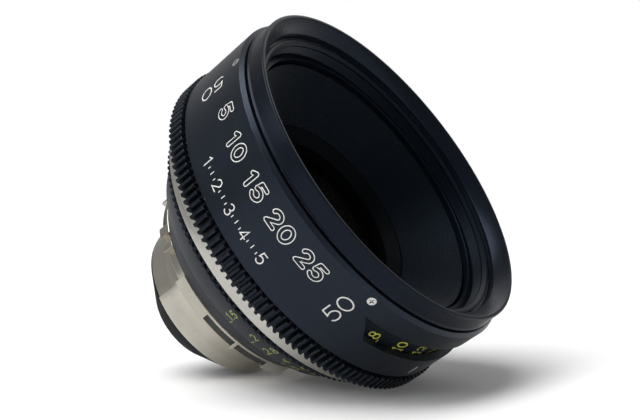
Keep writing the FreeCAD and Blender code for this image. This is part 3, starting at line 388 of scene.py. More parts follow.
class Finish(Enum):
    """The finishes of the lens, named for where they are used."""

    BODY = MetalFinish("body_anodised", (0.0145, 0.0196, 0.0285), (0.0195, 0.0256, 0.0365), 0.31,
                       metallic=0.72, wear_and_glint=0.3, dust=0.003, depth=0.03, specular=0.2)
    # Body anodising painted darker for the front ring: painted shade on its bell mouth and lip.
    RIM_PAINTED_SHADE = MetalFinish("rim_anodised_painted_shade", (0.0066, 0.0095, 0.016), (0.0094, 0.0131, 0.0208), 0.26,
                      metallic=0.6, wear_and_glint=0.4, dust=0.002, depth=0.03, specular=0.12)
    THREAD = MetalFinish("thread_anodised", (0.005, 0.0085, 0.0145), (0.0062, 0.0102, 0.0172), 0.34,
                         metallic=0.6, spread=0.02, depth=0.0, specular=0.12, edge=0.03)
    GEAR = MetalFinish("gear_anodised", (0.008, 0.012, 0.0185), (0.012, 0.017, 0.025), 0.36,
                       metallic=0.7, wear_and_glint=0.35, spread=0.05, specular=0.25)
    SCALE = MetalFinish("scale_anodised", (0.0062, 0.0096, 0.0158), (0.009, 0.013, 0.0205), 0.42,
                        metallic=0.3, wear_and_glint=0.25, specular=0.1, edge=0.06)
    BARREL = MetalFinish("barrel_anodised", (0.006, 0.0085, 0.013), (0.0085, 0.0115, 0.017), 0.45,
                         metallic=0.25, wear_and_glint=0.25, specular=0.12)
    SHROUD = MetalFinish("shroud_black", (0.002, 0.0026, 0.0034), (0.0034, 0.0042, 0.0054), 0.6,
                         metallic=0.0, specular=0.03, edge=0.02)
    BAFFLE = MetalFinish("baffle_black", (0.0046, 0.0086, 0.014), (0.0066, 0.0114, 0.0182), 0.4,
                         metallic=0.65, spread=0.06, depth=0.06, specular=0.16)
    CELL = MetalFinish("cell_black", (0.0012, 0.0018, 0.0026), (0.002, 0.0028, 0.0038), 0.55,
                       metallic=0.1, spread=0.06, depth=0.05, specular=0.04, edge=0.03)
    BARE = MetalFinish("bare_aluminium", (0.42, 0.41, 0.375), (0.54, 0.525, 0.485), 0.3, spread=0.1,
                       depth=0.08)
    STEEL = MetalFinish("bare_steel", (0.36, 0.34, 0.295), (0.56, 0.535, 0.465), 0.17, spread=0.1,
                        depth=0.05, wear_and_glint=0.3, worn_and_glint_colour=(0.85, 0.84, 0.82))
    SCREW = MetalFinish("screw_steel", (0.62, 0.62, 0.62), (0.72, 0.72, 0.71), 0.28, fineness=9000.0,
                        edge=0.08)
    BRASS = MetalFinish("machined_brass", (0.55, 0.42, 0.2), (0.62, 0.48, 0.25), 0.32, depth=0.06)
    CAM = MetalFinish("cam_steel", (0.05, 0.05, 0.055), (0.08, 0.08, 0.085), 0.4)
    BLADE = MetalFinish("blade_steel", (0.003, 0.003, 0.004), (0.005, 0.005, 0.006), 0.5, metallic=0.3,
                        edge=0.02, specular=0.04)
    WHITE = PaintFinish("white_fill", (0.8, 0.8, 0.78), (0.7, 0.7, 0.68))
    YELLOW = PaintFinish("yellow_fill", (0.66, 0.66, 0.09), (0.56, 0.57, 0.07))
    GREEN = PaintFinish("yellow_green_fill", (0.38, 0.42, 0.13), (0.3, 0.34, 0.1))
    # Dark paint laid as painted shade on the floors of the mount's recesses.
    RECESS_PAINTED_SHADE = PaintFinish("recess_painted_shade", (0.026, 0.027, 0.022), (0.04, 0.041, 0.035))
    GLASS = GlassFinish("coated_glass")
    INNER_GLASS = GlassFinish("inner_glass", (0.34, 0.38, 0.4), film=0.0, haze=0.0, shine=0.0)
    TABLE = FloorFinish()


class Paintbox:
    """Makes each finish once and hands it out."""

    def __init__(self) -> None:
        """Start with the shared effects."""
        self.kit = EffectKit()

    @cache
    def get(self, finish: Finish) -> Material:
        """Give the material of a finish, made when it is first asked for."""
        return finish.value.make(self.kit)


# Mesh building
def round_axis(radius: float, turn: float, height: float) -> Vector:
    """Give the point at a distance from the lens axis, an angle in degrees and a height."""
    angle = math.radians(turn)
    return Vector((radius * math.cos(angle), radius * math.sin(angle), height))


@dataclass
class MeshMaker:
    """Collects points, in millimetres, and faces, and turns them into one piece."""

    name: str
    points: list[Vector] = field(default_factory=list)
    faces: list[Sequence[int]] = field(default_factory=list)

    def point(self, radius: float, turn: float, height: float) -> int:
        """Add a point, placed as in round_axis, and give its index."""
        self.points.append(round_axis(radius, turn, height))
        return len(self.points) - 1

    def face(self, *places: int) -> None:
        """Add a face through points given by index."""
        self.faces.append(places)

    def join(self, loops: Sequence[Sequence[int]]) -> None:
        """Add faces from each loop of points to the next.

        Args:
            loops: The loops, all with the same number of points.
        """
        for near, far in zip(loops, loops[1:]):
            for here in range(len(near)):
                there = (here + 1) % len(near)
                self.face(near[here], near[there], far[there], far[here])

    def turned(self, outline: Outline, steps: int = 288, start: float = 0.0, span: float = 360.0) -> None:
        """Turn a closed outline round the lens axis.

        Args:
            outline: Corners as radius and height.
            steps: Parts of the turn.
            start: First angle.
            span: Angle covered; ends are closed where it isn't a full turn.
        """
        whole = abs(span - 360.0) < 1e-6
        rings = [[self.point(r, start + span * step / steps, h) for r, h in outline]
                 for step in range(steps if whole else steps + 1)]
        if whole:
            rings.append(rings[0])
        else:
            self.face(*rings[0])
            self.face(*reversed(rings[-1]))
        self.join(rings)

    def object(self, material: Material, sharp: float = 32.0) -> Piece:
        """Make the mesh and its object.

        Args:
            material: The piece's material.
            sharp: Angle from which edges stay sharp.

        Returns:
            The object, in metres.
        """
        mesh = bpy.data.meshes.new(self.name)
        mesh.from_pydata([tuple(point * MM) for point in self.points], [], self.faces)
        work = bmesh.new()
        work.from_mesh(mesh)
        bmesh.ops.remove_doubles(work, verts=work.verts, dist=1e-7)
        bmesh.ops.recalc_face_normals(work, faces=work.faces)
        work.to_mesh(mesh)
        work.free()
        mesh.shade_smooth()
        mesh.set_sharp_from_angle(angle=math.radians(sharp))
        piece = bpy.data.objects.new(self.name, mesh)
        bpy.context.scene.collection.objects.link(piece)
        mesh.materials.append(material)
        return piece


def softened(outline: Outline, cut: float, most: float = 0.42) -> Outline:
    """Round each corner of an outline.

    Args:
        outline: Corners as radius and height.
        cut: How far along each side the rounding starts.
        most: Largest share of a side that one corner takes.

    Returns:
        The outline with three points for each corner.
    """
    rounded: Outline = []
    for index, corner in enumerate(outline):
        here = Vector(corner)
        before = Vector(outline[index - 1]) - here
        after = Vector(outline[(index + 1) % len(outline)]) - here
        reach = min(cut, before.length * most, after.length * most)
        start = here + before.normalized() * reach
        end = here + after.normalized() * reach
        middle = (start + end) / 4 + here / 2
        rounded += [tuple(start), tuple(middle), tuple(end)]
    return rounded


# Lettering: plain numbers drawn with one line, as an engraving tool draws them
def arc(centre: tuple[float, float], size: tuple[float, float], start: float, end: float) -> Stroke:
    """Give points of an elliptical arc.

    Args:
        centre: Its centre.
        size: Its half width and half height.
        start: First angle in degrees.
        end: Last angle in degrees.

    Returns:
        The points in order.
    """
    count = max(6, round(abs(end - start) / 12))
    turns = [math.radians(start + (end - start) * index / count) for index in range(count + 1)]
    return [(centre[0] + size[0] * math.cos(turn), centre[1] + size[1] * math.sin(turn)) for turn in turns]


@dataclass(frozen=True)
class Lettering:
    """Height of figures, width of their line, stretch of their width, and gap over the height."""

    size: float
    line: float
    wide: float = 1.0
    gap: float = 0.16


class Figures:
    """Number shapes in a cell one high; each is a width and its strokes."""

    SIGNS: dict[str, tuple[float, list[Stroke]]] = {
        "0": (0.66, [arc((0.33, 0.5), (0.31, 0.5), 90, 450)]),
        "1": (0.40, [[(0.04, 0.80), (0.26, 1.0), (0.26, 0.0)]]),
        "2": (0.62, [arc((0.31, 0.70), (0.28, 0.30), 165, -35) + [(0.04, 0.0), (0.60, 0.0)]]),
        "3": (0.62, [arc((0.30, 0.75), (0.25, 0.25), 150, -80)
                     + arc((0.30, 0.26), (0.29, 0.27), 80, -150)]),
        "4": (0.66, [[(0.47, 0.0), (0.47, 1.0), (0.02, 0.28), (0.64, 0.28)]]),
        "5": (0.62, [[(0.56, 1.0), (0.13, 1.0), (0.07, 0.55)]
                     + arc((0.30, 0.32), (0.30, 0.32), 128, -145)]),
        "6": (0.62, [[(0.48, 1.0)] + arc((0.58, 0.32), (0.56, 0.56), 130, 180),
                     arc((0.31, 0.31), (0.29, 0.31), 0, 360)]),
        "7": (0.60, [[(0.02, 1.0), (0.58, 1.0), (0.18, 0.0)]]),
        "8": (0.64, [arc((0.32, 0.75), (0.24, 0.25), 0, 360), arc((0.32, 0.26), (0.30, 0.26), 0, 360)]),
        "9": (0.62, [[(0.14, 0.0)] + arc((0.04, 0.68), (0.56, 0.56), -50, 0),
                     arc((0.31, 0.69), (0.29, 0.31), 0, 360)]),
        ".": (0.22, [[(0.10, 0.02), (0.12, 0.02)]]),
        "inf": (1.10, [arc((0.28, 0.36), (0.26, 0.24), 45, 315) + arc((0.82, 0.36), (0.26, 0.24), -135, 135)
                       + [(0.464, 0.19)]]),
    }

    @classmethod
    def strokes(cls, text: str, look: Lettering) -> list[Stroke]:
        """Lay out a number, centred on zero both ways.

        Args:
            text: Its signs; inf alone is the sign for infinity.
            look: How it is drawn.

        Returns:
            The strokes.
        """
        signs = ["inf"] if text == "inf" else list(text)
        width = sum(cls.SIGNS[sign][0] for sign in signs) + look.gap * (len(signs) - 1)
        place = -width / 2
        strokes: list[Stroke] = []
        for sign in signs:
            across, lines = cls.SIGNS[sign]
            strokes += [[((x + place) * look.size * look.wide, (y - 0.5) * look.size) for x, y in line]
                        for line in lines]
            place += across + look.gap
        return strokes


def is_closed(points: Sequence[Vector]) -> bool:
    """Say whether a line ends where it starts."""
    return len(points) > 2 and (points[0] - points[-1]).length < 1e-6


def corners(points: Sequence[Vector]) -> Iterator[tuple[Vector, Vector, Vector]]:
    """Give each point of a line with the directions of the line before and after it.

    Args:
        points: The line's points; no two that follow each other are the same.

    Returns:
        Point, direction in and direction out, one after another.
    """
    ways = [(after - here).normalized() for here, after in zip(points, points[1:])]
    closed = is_closed(points)
    for index, here in enumerate(points):
        into = ways[index - 1] if index or closed else ways[0]
        out = ways[index] if index < len(ways) else (ways[0] if closed else ways[-1])
        yield here, into, out


def caps(points: Sequence[Vector], reach: float, half: float) -> list[Stroke]:
    """Give round ends for a line.

    Args:
        points: The line's points.
        reach: Radius of the ends.
        half: Half the angle that each end covers.

    Returns:
        An arc round the last point and one round the first.
    """
    ends = []
    for end, inner in ((points[-1], points[-2]), (points[0], points[1])):
        facing = math.degrees(math.atan2(end.y - inner.y, end.x - inner.x))
        ends.append(arc(tuple(end), (reach, reach), facing + half, facing - half))
    return ends


def contour(stroke: Stroke, distance: float, sharp: float = 0.85, least: float = 0.35) -> Stroke:
    """Give the closed line that runs round a stroke at a distance.

    Args:
        stroke: The stroke.
        distance: Space between them.
        sharp: Cosine of half a bend, below which its outer side is rounded.
        least: Smallest cosine that a corner's reach is divided by.

    Returns:
        The closed line, its first point repeated at the end.
    """
    points = [Vector(point) for point in stroke]
    sides: list[list[Vector]] = [[], []]
    for here, one, two in corners(points):
        bend = one.x * two.y - one.y * two.x
        middle = (one + two).normalized()
        share = middle.dot(two)
        for side, reach in zip(sides, (distance, -distance)):
            if share < sharp and bend * reach < 0.0:
                side += [here + Vector((-way.y, way.x)) * reach for way in (one, middle, two)]
            else:
                side.append(here + Vector((-middle.y, middle.x)) * reach / max(least, share))
    left, right = [[tuple(point) for point in side] for side in sides]
    if is_closed(points):
        return left
    last, first = caps(points, distance, 75)
    return left + last + right[::-1] + first + left[:1]


class Reading(Enum):
    """How figures stand on the lens: the way they read and the way their tops point."""

    TOPS_FRONT = ((1.0, 0.0), (0.0, 1.0))
    READS_FORWARD = ((0.0, 1.0), (-1.0, 0.0))
    READS_BACK = ((0.0, -1.0), (1.0, 0.0))


@dataclass(frozen=True)
class TurnedFace:
    """A turned surface that carries marks; its radius changes evenly with height."""

    low: float
    low_radius: float
    high: float
    high_radius: float

    def place(self, maker: MeshMaker, turn: float, along: float, height: float, lift: float) -> int:
        """Add a point over the surface.

        Args:
            maker: Where the point goes.
            turn: Angle that distances along the surface start from.
            along: Distance round the surface.
            height: Height above the rear end.
            lift: Distance out of the surface.

        Returns:
            The point's index.
        """
        slope = (self.high_radius - self.low_radius) / (self.high - self.low)
        radius = self.low_radius + slope * (height - self.low)
        tilt = math.atan(slope)
        angle = turn + math.degrees(along / radius)
        return maker.point(radius + lift * math.cos(tilt), angle, height - lift * math.sin(tilt))


class Marks:
    """Filled lines on a turned face, gathered into one piece."""

    lift: float = 0.03
    sharp: float = 60.0

    def __init__(self, name: str, face: TurnedFace) -> None:
        """Start a piece on a face, with no mark."""
        self.maker = MeshMaker(name)
        self.face = face

    def line(self, stroke: Stroke, width: float, turn: float, height: float,
             reading: Reading = Reading.TOPS_FRONT) -> None:
        """Draw one stroke with round ends.

        Args:
            stroke: Points to the right and up from the middle.
            width: Width of the line.
            turn: Angle of the middle.
            height: Height of the middle.
            reading: How the stroke stands.
        """
        points = [Vector(point) for point in stroke]
        left: list[int] = []
        right: list[int] = []

        def put(spot: Vector) -> int:
            """Add one point of the line's edge."""
            run, rise = reading.value
            along = run[0] * spot.x + rise[0] * spot.y
            up = run[1] * spot.x + rise[1] * spot.y
            return self.face.place(self.maker, turn, along, height + up, self.lift)

        for here, one, two in corners(points):
            across = Vector((-(one.y + two.y), one.x + two.x)).normalized()
            reach = width / 2 / max(0.5, across.dot(Vector((-two.y, two.x))))
            left.append(put(here + across * reach))
            right.append(put(here - across * reach))
        for index in range(len(points) - 1):
            self.maker.face(left[index], right[index], right[index + 1], left[index + 1])
        if not is_closed(points):
            for rim in caps(points, width / 2, 90):
                self.maker.face(*[put(Vector(point)) for point in rim])

    def number(self, text: str, look: Lettering, turn: float, height: float,
               reading: Reading = Reading.TOPS_FRONT) -> None:
        """Draw a number; turn and height are its middle's."""
        for stroke in Figures.strokes(text, look):
            self.line(stroke, look.line, turn, height, reading)

    def outlined(self, text: str, look: Lettering, half: float, turn: float, height: float) -> None:
        """Draw a number as double lines.

        Args:
            text: Its figures.
            look: How they are drawn.
            half: Distance of the drawn lines from the middle line.
            turn: Angle of its middle.
            height: Height of its middle.
        """
        for stroke in Figures.strokes(text, look):
            self.line(contour(stroke, half), look.line, turn, height)
            if is_closed([Vector(point) for point in stroke]):
                self.line(contour(stroke, -half), look.line, turn, height)

    def tick(self, turn: float, low: float, high: float, width: float) -> None:
        """Draw a line along the lens axis, from a low to a high end."""
        middle = (low + high) / 2
        self.line([(0.0, low - middle), (0.0, high - middle)], width, turn, middle)

    def object(self, material: Material) -> Piece:
        """Make the piece, as a thin layer of paint.

        Args:
            material: The paint.

        Returns:
            The piece.
        """
        piece = self.maker.object(material, self.sharp)
        layer = piece.modifiers.new("paint_layer", "SOLIDIFY")
        layer.thickness = self.lift * MM
        layer.offset = -1.0
        return piece


# Sub-assemblies
@dataclass(frozen=True)
class ToothedBand:
    """Sizes of one geared ring, and how its teeth are shaped."""

    name: str
    teeth: int
    tip: float
    bore: float
    low: float
    high: float
    module: float = 0.735
    depth: float = 2.25
    top_share: float = 0.144
    tip_share: float = 0.36
    root_share: float = 0.68
    foot_gap: float = 0.05
    tip_round: float = 0.12
    chamfer: float = 0.14
    sharp: float = 24.0

    def maker(self) -> MeshMaker:
        """Build the ring with bevelled ends and rounded tooth tips.

        Returns:
            The mesh maker.
        """
        maker = MeshMaker(self.name)
        root = self.tip - self.module * self.depth
        foot = root - self.foot_gap
        pitch = 360.0 / self.teeth
        flank, side, top = self.root_share / 2, self.tip_share / 2, self.top_share
        form = [(root, -flank), (self.tip - self.tip_round, -side), (self.tip, -top),
                (self.tip, top), (self.tip - self.tip_round, side), (root, flank)]
        layers = [(self.low, self.chamfer), (self.low + self.chamfer, 0.0),
                  (self.high - self.chamfer, 0.0), (self.high, self.chamfer)]
        rings = [[maker.point(max(foot, radius - drop), (tooth + place) * pitch, height)
                  for tooth in range(self.teeth) for radius, place in form] for height, drop in layers]
        count = len(rings[0])
        inner = [[maker.point(self.bore, index * 360.0 / count, height) for index in range(count)]
                 for height in (self.high, self.low)]
        maker.join(rings + inner + rings[:1])
        return maker


@dataclass
class Assembly:
    """What every sub-assembly shares: finishes, its body, and how a piece joins the frame."""

    paints: Paintbox
    body: str = "housing"

    def fit(self, piece: Piece, slot: str = "", *nodes: str) -> None:
        """Put a piece on its body and hide the frame nodes that it stands for.

        Args:
            piece: The piece.
            slot: The record's material slot, empty for fill paint; not used.
            nodes: Frame nodes that the piece replaces.
        """
        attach(piece, self.body)
        if nodes:
            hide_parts(*nodes)
        LOG.info("piece %s on %s", piece.name, self.body)

    def lathe(self, node: str, outline: Outline, finish: Finish, slot: str, name: str = "",
              sharp: float = 32.0) -> None:
        """Turn a closed outline into the piece that stands for a node.

        Args:
            node: The frame node.
            outline: Corners as radius and height.
            finish: The piece's finish.
            slot: The record's material slot.
            name: The piece's name; otherwise the node's with _turned.
            sharp: Angle from which edges stay sharp.
        """
        maker = MeshMaker(name or f"{node}_turned")
        maker.turned(outline)
        self.fit(maker.object(self.paints.get(finish), sharp), slot, node)

    def cut(self, gear: ToothedBand, node: str) -> None:
        """Cut the geared ring that stands for a node."""
        self.fit(gear.maker().object(self.paints.get(Finish.GEAR), gear.sharp), "gear_black", node)

    def dress(self, finish: Finish, *nodes: str) -> None:
        """Give frame nodes a finish.

        Args:
            finish: The finish.
            nodes: The nodes.
        """
        for name in nodes:
            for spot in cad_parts[name].material_slots:
                spot.link = "OBJECT"
                spot.material = self.paints.get(finish)
            LOG.info("node %s has %s", name, finish.value.name)


@dataclass
class FrontRings(Assembly):
    """Lip, bell mouth and thread at the front of the lens."""

    lip: float = 52.0
    skirt: float = 52.4
    thread_low: float = 77.7
    thread_high: float = 81.3
    thread_wall: float = 45.2
    thread_pitch: float = 0.6
    thread_depth: float = 0.28
    thread_start: float = 0.2

    def build(self) -> None:
        """Turn the lip with its bell mouth, skirt and dark groove, then the thread ring."""
        outline = [(50.9, 87.3), (51.75, 87.3), (self.lip, 87.05), (self.lip, 82.4), (self.skirt, 81.8),
                   (50.9, 81.8), (50.9, 81.1), (51.3, 81.1), (51.3, 79.8), (48.9, 79.8), (48.9, 76.2),
                   (47.0, 76.2), (47.0, 81.6), (47.7, 81.6), (47.7, 83.6)]
        # The front ring's finish is the body's anodising darkened as painted shade.
        self.lathe("front_ring", softened(outline, 0.2), Finish.RIM_PAINTED_SHADE, "body_black")
        self.thread_ring()

    def thread_ring(self) -> None:
        """Turn the thread ring with fine thread crests."""
        body = [(46.0, 82.1), (47.0, 82.1), (47.0, 76.3), (43.1, 76.3), (43.1, self.thread_low)]
        thread: Outline = [(self.thread_wall, self.thread_low)]
        height = self.thread_low + self.thread_start
        while height + self.thread_pitch < self.thread_high:
            thread.append((self.thread_wall, height))
            thread.append((self.thread_wall + self.thread_depth, height + self.thread_pitch / 2))
            height += self.thread_pitch
        thread += [(self.thread_wall, height), (self.thread_wall, self.thread_high)]
        self.lathe("thread_ring", softened(body, 0.15) + thread, Finish.THREAD, "body_black")


@dataclass
class FrontHousing(Assembly):
    """The fixed outer sleeve with its windows, screws and marks."""

    face: TurnedFace = TurnedFace(58.2, 53.6, 80.0, 53.6)
    fifties: tuple[tuple[float, float, Reading], ...] = (
        (23.0, 70.6, Reading.READS_FORWARD), (-57.2, 69.6, Reading.READS_BACK))
    fifty_look: Lettering = Lettering(4.6, 0.42, 1.28)
    dial: str = "5 10 15 20 25"
    dial_look: Lettering = Lettering(4.3, 0.27, 1.2, 0.32)
    dial_half: float = 0.55
    dial_turn: float = -43.5
    dial_step: float = 13.0
    dial_height: float = 73.8
    small_dial: str = "12345"
    small_look: Lettering = Lettering(3.3, 0.36)
    small_turn: float = -33.0
    small_step: float = 8.0
    small_height: float = 64.0
    small_low: float = 63.4
    small_lines: tuple[tuple[int, float], ...] = ((1, 0.7), (2, 1.2), (3, 0.7))
    small_width: float = 0.26
    index_turns: tuple[float, float] = (66.0, -115.0)
    index_line: tuple[float, ...] = (60.9, 63.6, 0.9)

    def build(self) -> None:
        """Dress the sleeve and draw its marks."""
        self.dress(Finish.BODY, "front_housing", "main_barrel")
        self.dress(Finish.SCREW, "housing_screws")
        self.dress(Finish.STEEL, "focus_stop_pins")
        marks = Marks("housing_marks", self.face)
        for turn, height, reading in self.fifties:
            marks.number("50", self.fifty_look, turn, height, reading)
        self.dials(marks)
        for turn in self.index_turns:
            marks.tick(turn, *self.index_line)
        self.fit(marks.object(self.paints.get(Finish.WHITE)))

    def dials(self, marks: Marks) -> None:
        """Draw the two rows of plain numbers.

        Args:
            marks: Where the lines go.
        """
        for index, text in enumerate(self.dial.split()):
            turn = self.dial_turn + self.dial_step * index
            marks.outlined(text, self.dial_look, self.dial_half, turn, self.dial_height)
        low = self.small_low
        for index, text in enumerate(self.small_dial):
            here = self.small_turn + self.small_step * index
            marks.number(text, self.small_look, here, self.small_height)
            if index + 1 < len(self.small_dial):
                for part, length in self.small_lines:
                    marks.tick(here + self.small_step * part / 4, low, low + length, self.small_width)


@dataclass
class FocusRing(Assembly):
    """The focus gear and the distance scale that turn together."""

    body: str = "focus_ring"
    gear: ToothedBand = ToothedBand("focus_gear_teeth", 146, 54.39, 49.6, 52.5, 57.6)
    radius: float = 50.9
    high: float = 74.3
    chamfer: float = 0.3
    feet_look: Lettering = Lettering(3.3, 0.46)
    feet_height: float = 68.5
    line_offset: float = 2.7
    feet_line: tuple[float, ...] = (65.9, 67.6, 0.3)
    half_line: tuple[float, ...] = (65.9, 66.8, 0.22)
    feet_turns: tuple[tuple[str, float], ...] = (
        ("2.5", -132.3), ("3", -89.6), ("3.5", -59.5), ("4", -37.3), ("5", -6.7), ("6", 13.4),
        ("7", 27.6), ("8", 40.1), ("10", 52.0), ("12", 62.4), ("15", 72.4), ("20", 82.1), ("30", 91.6),
        ("inf", 110.7))

    def build(self) -> None:
        """Make the gear, the scale ring and its numbers."""
        self.cut(self.gear, "focus_gear_ring")
        bore, low = self.gear.bore, self.gear.high
        outline = [(bore, low), (self.radius, low), (self.radius, self.high - self.chamfer),
                   (self.radius - self.chamfer, self.high), (bore, self.high)]
        self.lathe("focus_scale_ring", softened(outline, 0.1), Finish.SCALE, "scale_black")
        marks = Marks("focus_scale_marks", TurnedFace(low, self.radius, self.high, self.radius))
        for text, turn in self.feet_turns:
            marks.number(text, self.feet_look, turn, self.feet_height, Reading.READS_FORWARD)
            marks.tick(turn + self.line_offset, *self.feet_line)
        for (_, first), (_, second) in zip(self.feet_turns, self.feet_turns[1:-1]):
            marks.tick((first + second) / 2 + self.line_offset, *self.half_line)
        self.fit(marks.object(self.paints.get(Finish.YELLOW)))
        self.dress(Finish.BRASS, "focus_sleeve", "focus_stop_block")


@dataclass
class IrisRing(Assembly):
    """The iris gear and the tapered iris scale."""

    body: str = "iris_ring"
    gear: ToothedBand = ToothedBand("iris_gear_teeth", 128, 47.775, 43.6, 44.0, 46.6)
    face: TurnedFace = TurnedFace(36.4, 41.7, 43.7, 46.4)
    bore: float = 39.96
    stop_look: Lettering = Lettering(2.5, 0.36)
    stop_height: float = 40.2
    line_offset: float = 2.2
    stop_line: tuple[float, ...] = (36.9, 38.2, 0.28)
    stops: tuple[tuple[str, float], ...] = (
        ("1.5", 8.2), ("2", 19.5), ("2.8", 27.6), ("4", 35.0), ("5.6", 42.0), ("8", 49.5), ("11", 57.0),
        ("16", 64.5), ("22", 72.0))

    def build(self) -> None:
        """Make the gear, the tapered ring and its numbers."""
        gear, face = self.gear, self.face
        self.cut(gear, "iris_gear_ring")
        outline = [(self.bore, face.low), (face.low_radius, face.low), (face.high_radius, face.high),
                   (face.high_radius, gear.low), (gear.bore, gear.low), (gear.bore, gear.high),
                   (self.bore, gear.high)]
        self.lathe("iris_scale_ring", softened(outline, 0.12), Finish.SCALE, "scale_black")
        marks = Marks("iris_scale_marks", face)
        for text, turn in self.stops:
            marks.number(text, self.stop_look, turn, self.stop_height, Reading.READS_FORWARD)
            marks.tick(turn + self.line_offset, *self.stop_line)
        self.fit(marks.object(self.paints.get(Finish.GREEN)))


@dataclass
class RearBarrel(Assembly):
    """Spacer ring, tapered rear barrel, mount and rear shroud."""

    ears: int = 4
    recess_radius: float = 33.6
    recess_lift: float = 0.04
    recess_heights: tuple[float, float] = (25.25, 28.15)
    recess_turns: tuple[float, float] = (13.0, 33.4)
    recess_span: float = 18.5
    index_face: TurnedFace = TurnedFace(29.6, 35.3, 36.1, 41.0)
    index_line: tuple[float, ...] = (65.0, 33.4, 35.6, 0.6)

    def build(self) -> None:
        """Make the rings, dress the mount and lay painted shade in its recesses."""
        spacer = [(48.0, 46.9), (49.3, 46.9), (49.6, 47.2), (49.6, 52.2), (48.0, 52.2)]
        self.lathe("spacer_ring", softened(spacer, 0.1), Finish.BARE, "bare_aluminium")
        barrel = [(35.6, 36.1), (41.0, 36.1), (35.3, 29.6), (35.3, 29.4), (28.6, 29.4), (28.6, 31.5),
                  (35.6, 31.5)]
        self.lathe("rear_barrel", softened(barrel, 0.12), Finish.BARREL, "barrel_black")
        shroud = [(14.6, 0.0), (15.6, 0.0), (16.0, 0.4), (25.9, 10.4), (26.2, 11.2), (25.2, 11.2),
                  (25.2, 15.2), (23.4, 15.2), (23.4, 10.4), (14.6, 0.8)]
        self.lathe("rear_shroud", softened(shroud, 0.15), Finish.SHROUD, "shroud_black")
        index = Marks("iris_index_mark", self.index_face)
        index.tick(*self.index_line)
        self.fit(index.object(self.paints.get(Finish.WHITE)))
        self.dress(Finish.SCREW, "mount_screws")
        self.dress(Finish.STEEL, "mount_flange", "mount_shim")
        self.recesses()

    def recesses(self) -> None:
        """Lay painted shade, a thin dark layer, on the floors of the two recesses in each ear of the mount.
        """
        floors = MeshMaker("mount_recess_painted_shade")
        inner, outer = self.recess_radius, self.recess_radius + self.recess_lift
        low, high = self.recess_heights
        outline = [(inner, low), (outer, low), (outer, high), (inner, high)]
        for ear in range(self.ears):
            for middle in self.recess_turns:
                start = 360.0 / self.ears * ear + middle - self.recess_span / 2
                floors.turned(outline, 16, start, self.recess_span)
        self.fit(floors.object(self.paints.get(Finish.RECESS_PAINTED_SHADE)))


@dataclass
class Optics(Assembly):
    """Ridged funnel, glass and everything that slides with it."""

    body: str = "optics"
    ridges: int = 30
    rim: float = 42.2
    throat: float = 29.5
    rim_height: float = 75.9
    throat_height: float = 63.4
    crest: float = 0.15
    hollow: tuple[float, float] = (0.28, 0.9)

    def build(self) -> None:
        """Make the funnel and dress the rest."""
        self.funnel()
        self.dress(Finish.CELL, "front_retaining_ring", "front_cell", "doublet_retaining_ring",
                   "optics_carrier", "iris_housing", "iris_cover", "rear_spacer", "rear_retaining_ring",
                   "tail_retaining_ring")
        self.dress(Finish.SHROUD, "rear_cell")
        self.dress(Finish.BRASS, "helicoid_keys")
        self.dress(Finish.GLASS, "lens_1", "lens_7")
        self.dress(Finish.INNER_GLASS, *[f"lens_{index}" for index in range(2, 7)])
        self.dress(Finish.CAM, "iris_cam_ring", "iris_drive_pin")
        self.dress(Finish.BLADE, *[f"iris_blade_{index}" for index in range(1, 10)])

    def funnel(self) -> None:
        """Turn the funnel with its light-trap ridges."""
        outline: Outline = [(31.0, 58.0), (32.6, 58.0), (32.6, 62.9), (42.7, 74.3), (42.7, 75.7),
                            (42.5, 75.9)]
        step_r = (self.rim - self.throat) / self.ridges
        step_h = (self.rim_height - self.throat_height) / self.ridges
        for index in range(self.ridges):
            edge, height = self.rim - index * step_r, self.rim_height - index * step_h
            outline += [(edge, height), (edge - step_r * self.crest, height - step_h * self.crest),
                        (edge - step_r * self.hollow[0], height - step_h * self.hollow[1])]
        outline += [(self.throat, self.throat_height), (self.throat, 62.9), (31.0, 62.9)]
        self.lathe("front_funnel", outline, Finish.BAFFLE, "baffle_black", "front_funnel_ridged", 20.0)


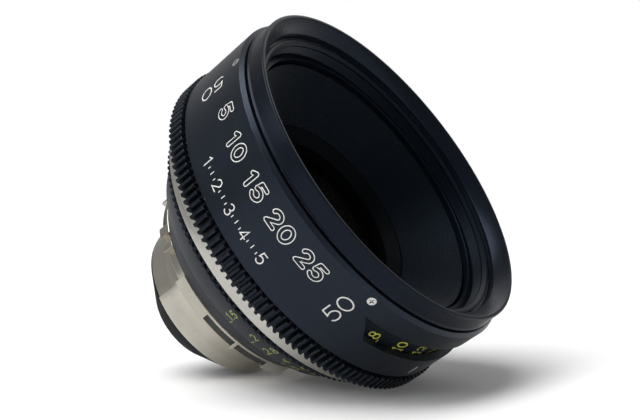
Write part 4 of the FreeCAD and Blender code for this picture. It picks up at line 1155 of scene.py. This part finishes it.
# Studio
@dataclass
class Studio:
    """Table, lamps and camera of the photograph, placed in the frame of the lens."""

    paints: Paintbox
    right: Vector = Vector((-0.357103, 0.607581, 0.709452))
    down: Vector = Vector((0.266413, 0.794235, -0.546091))
    ahead: Vector = Vector((-0.895266, -0.006004, -0.445491))
    eye: Vector = Vector((291.876, 0.0, 203.936))
    focal: float = 61.875
    sensor: float = 36.0
    rest_turn: float = 72.35
    tube_edge: Vector = Vector((27.0, 11.2))
    gear_edge: Vector = Vector((54.4, 52.5))
    middle: Vector = Vector((0.0, 0.0, 45.0))
    table_size: float = 2.5
    table_gap: float = 0.02

    def build(self) -> None:
        """Set up everything round the lens."""
        self.camera()
        self.table()
        self.lamp("sky", (-0.35, 1.0, 0.10), 44.0, 2.2)
        self.lamp("key", (-0.90, 0.85, 0.55), 42.0, 1.15)
        self.lamp("rim", (0.5, 1.0, -1.0), 40.0, 0.25)
        self.world()

    @staticmethod
    def add(name: str, data: bpy.types.ID, place: Vector, axes: Sequence[Vector]) -> Piece:
        """Add an object to the scene.

        Args:
            name: Its name.
            data: Its mesh, lamp or camera.
            place: Where it stands, in millimetres.
            axes: Directions of its own three axes.

        Returns:
            The object.
        """
        made = bpy.data.objects.new(name, data)
        made.matrix_world = Matrix.Translation(place * MM) @ Matrix(axes).transposed().to_4x4()
        bpy.context.scene.collection.objects.link(made)
        return made

    def camera(self) -> None:
        """Place the camera where the photograph was taken."""
        data = bpy.data.cameras.new("view")
        data.lens = self.focal
        data.sensor_width = self.sensor
        data.clip_start = 0.01
        data.clip_end = 20.0
        axes = (self.right.normalized(), -self.down.normalized(), -self.ahead.normalized())
        bpy.context.scene.camera = self.add("view", data, self.eye, axes)

    def floor_up(self) -> Vector:
        """Give the direction away from the table that the lens rests on."""
        run = (self.gear_edge - self.tube_edge).normalized()
        return -round_axis(run.y, self.rest_turn, -run.x)

    def table(self) -> None:
        """Lay the table under the edge of the mount's tube and the tips of the focus gear."""
        up = self.floor_up()
        side = up.cross(self.ahead).normalized()
        tube = round_axis(self.tube_edge.x, self.rest_turn, self.tube_edge.y)
        depth = (self.middle - tube).dot(up) + self.table_gap
        work = bmesh.new()
        bmesh.ops.create_grid(work, x_segments=12, y_segments=12, size=self.table_size)
        mesh = bpy.data.meshes.new("table")
        work.to_mesh(mesh)
        work.free()
        mesh.materials.append(self.paints.get(Finish.TABLE))
        self.add("table", mesh, self.middle - up * depth, (side, up.cross(side), up))

    def lamp(self, name: str, way: tuple[float, float, float], spread: float, level: float) -> None:
        """Hang one wide soft lamp that faces the lens.

        Args:
            name: Its name.
            way: Share to the right, up and towards the camera of the way to the lamp.
            spread: Angle that the lamp fills, in degrees.
            level: Its strength.
        """
        up = self.floor_up()
        back = -(self.ahead + up * -self.ahead.dot(up)).normalized()
        facing = -(up.cross(back) * way[0] + up * way[1] + back * way[2])
        data = bpy.data.lights.new(name, "SUN")
        data.energy = level
        data.angle = math.radians(spread)
        turn = facing.to_track_quat("-Z", "Y").to_matrix()
        self.add(name, data, Vector(), turn.transposed())

    def world(self) -> None:
        """Make a white surround that lights the lens only a little."""
        world = bpy.data.worlds.new("white_surround")
        bpy.context.scene.world = world
        world.use_nodes = True
        sheet = NodeSheet(world.node_tree)
        sheet.tree.nodes.clear()
        path = sheet.add("LightPath").outputs
        seen = sheet.sums("MAXIMUM", path["Is Camera Ray"], path["Is Transmission Ray"])
        light = sheet.sums("MAXIMUM", seen, sheet.sums("MULTIPLY_ADD", path["Is Glossy Ray"], 0.15, 0.22))
        back = sheet.add("Background", {"Color": (1.0, 1.0, 1.0, 1.0), "Strength": light})
        sheet.add("OutputWorld", {"Surface": back.outputs[0]})
        bpy.context.scene.view_settings.view_transform = "Standard"


def main() -> None:
    """Build the sub-assemblies in order, then the studio."""
    logging.basicConfig(level=logging.INFO, format="%(message)s")
    paints = Paintbox()
    for part in (FrontRings, FrontHousing, FocusRing, IrisRing, RearBarrel, Optics, Studio):
        LOG.info("building %s", part.__name__)
        part(paints).build()


if __name__ == "__main__":
    main()
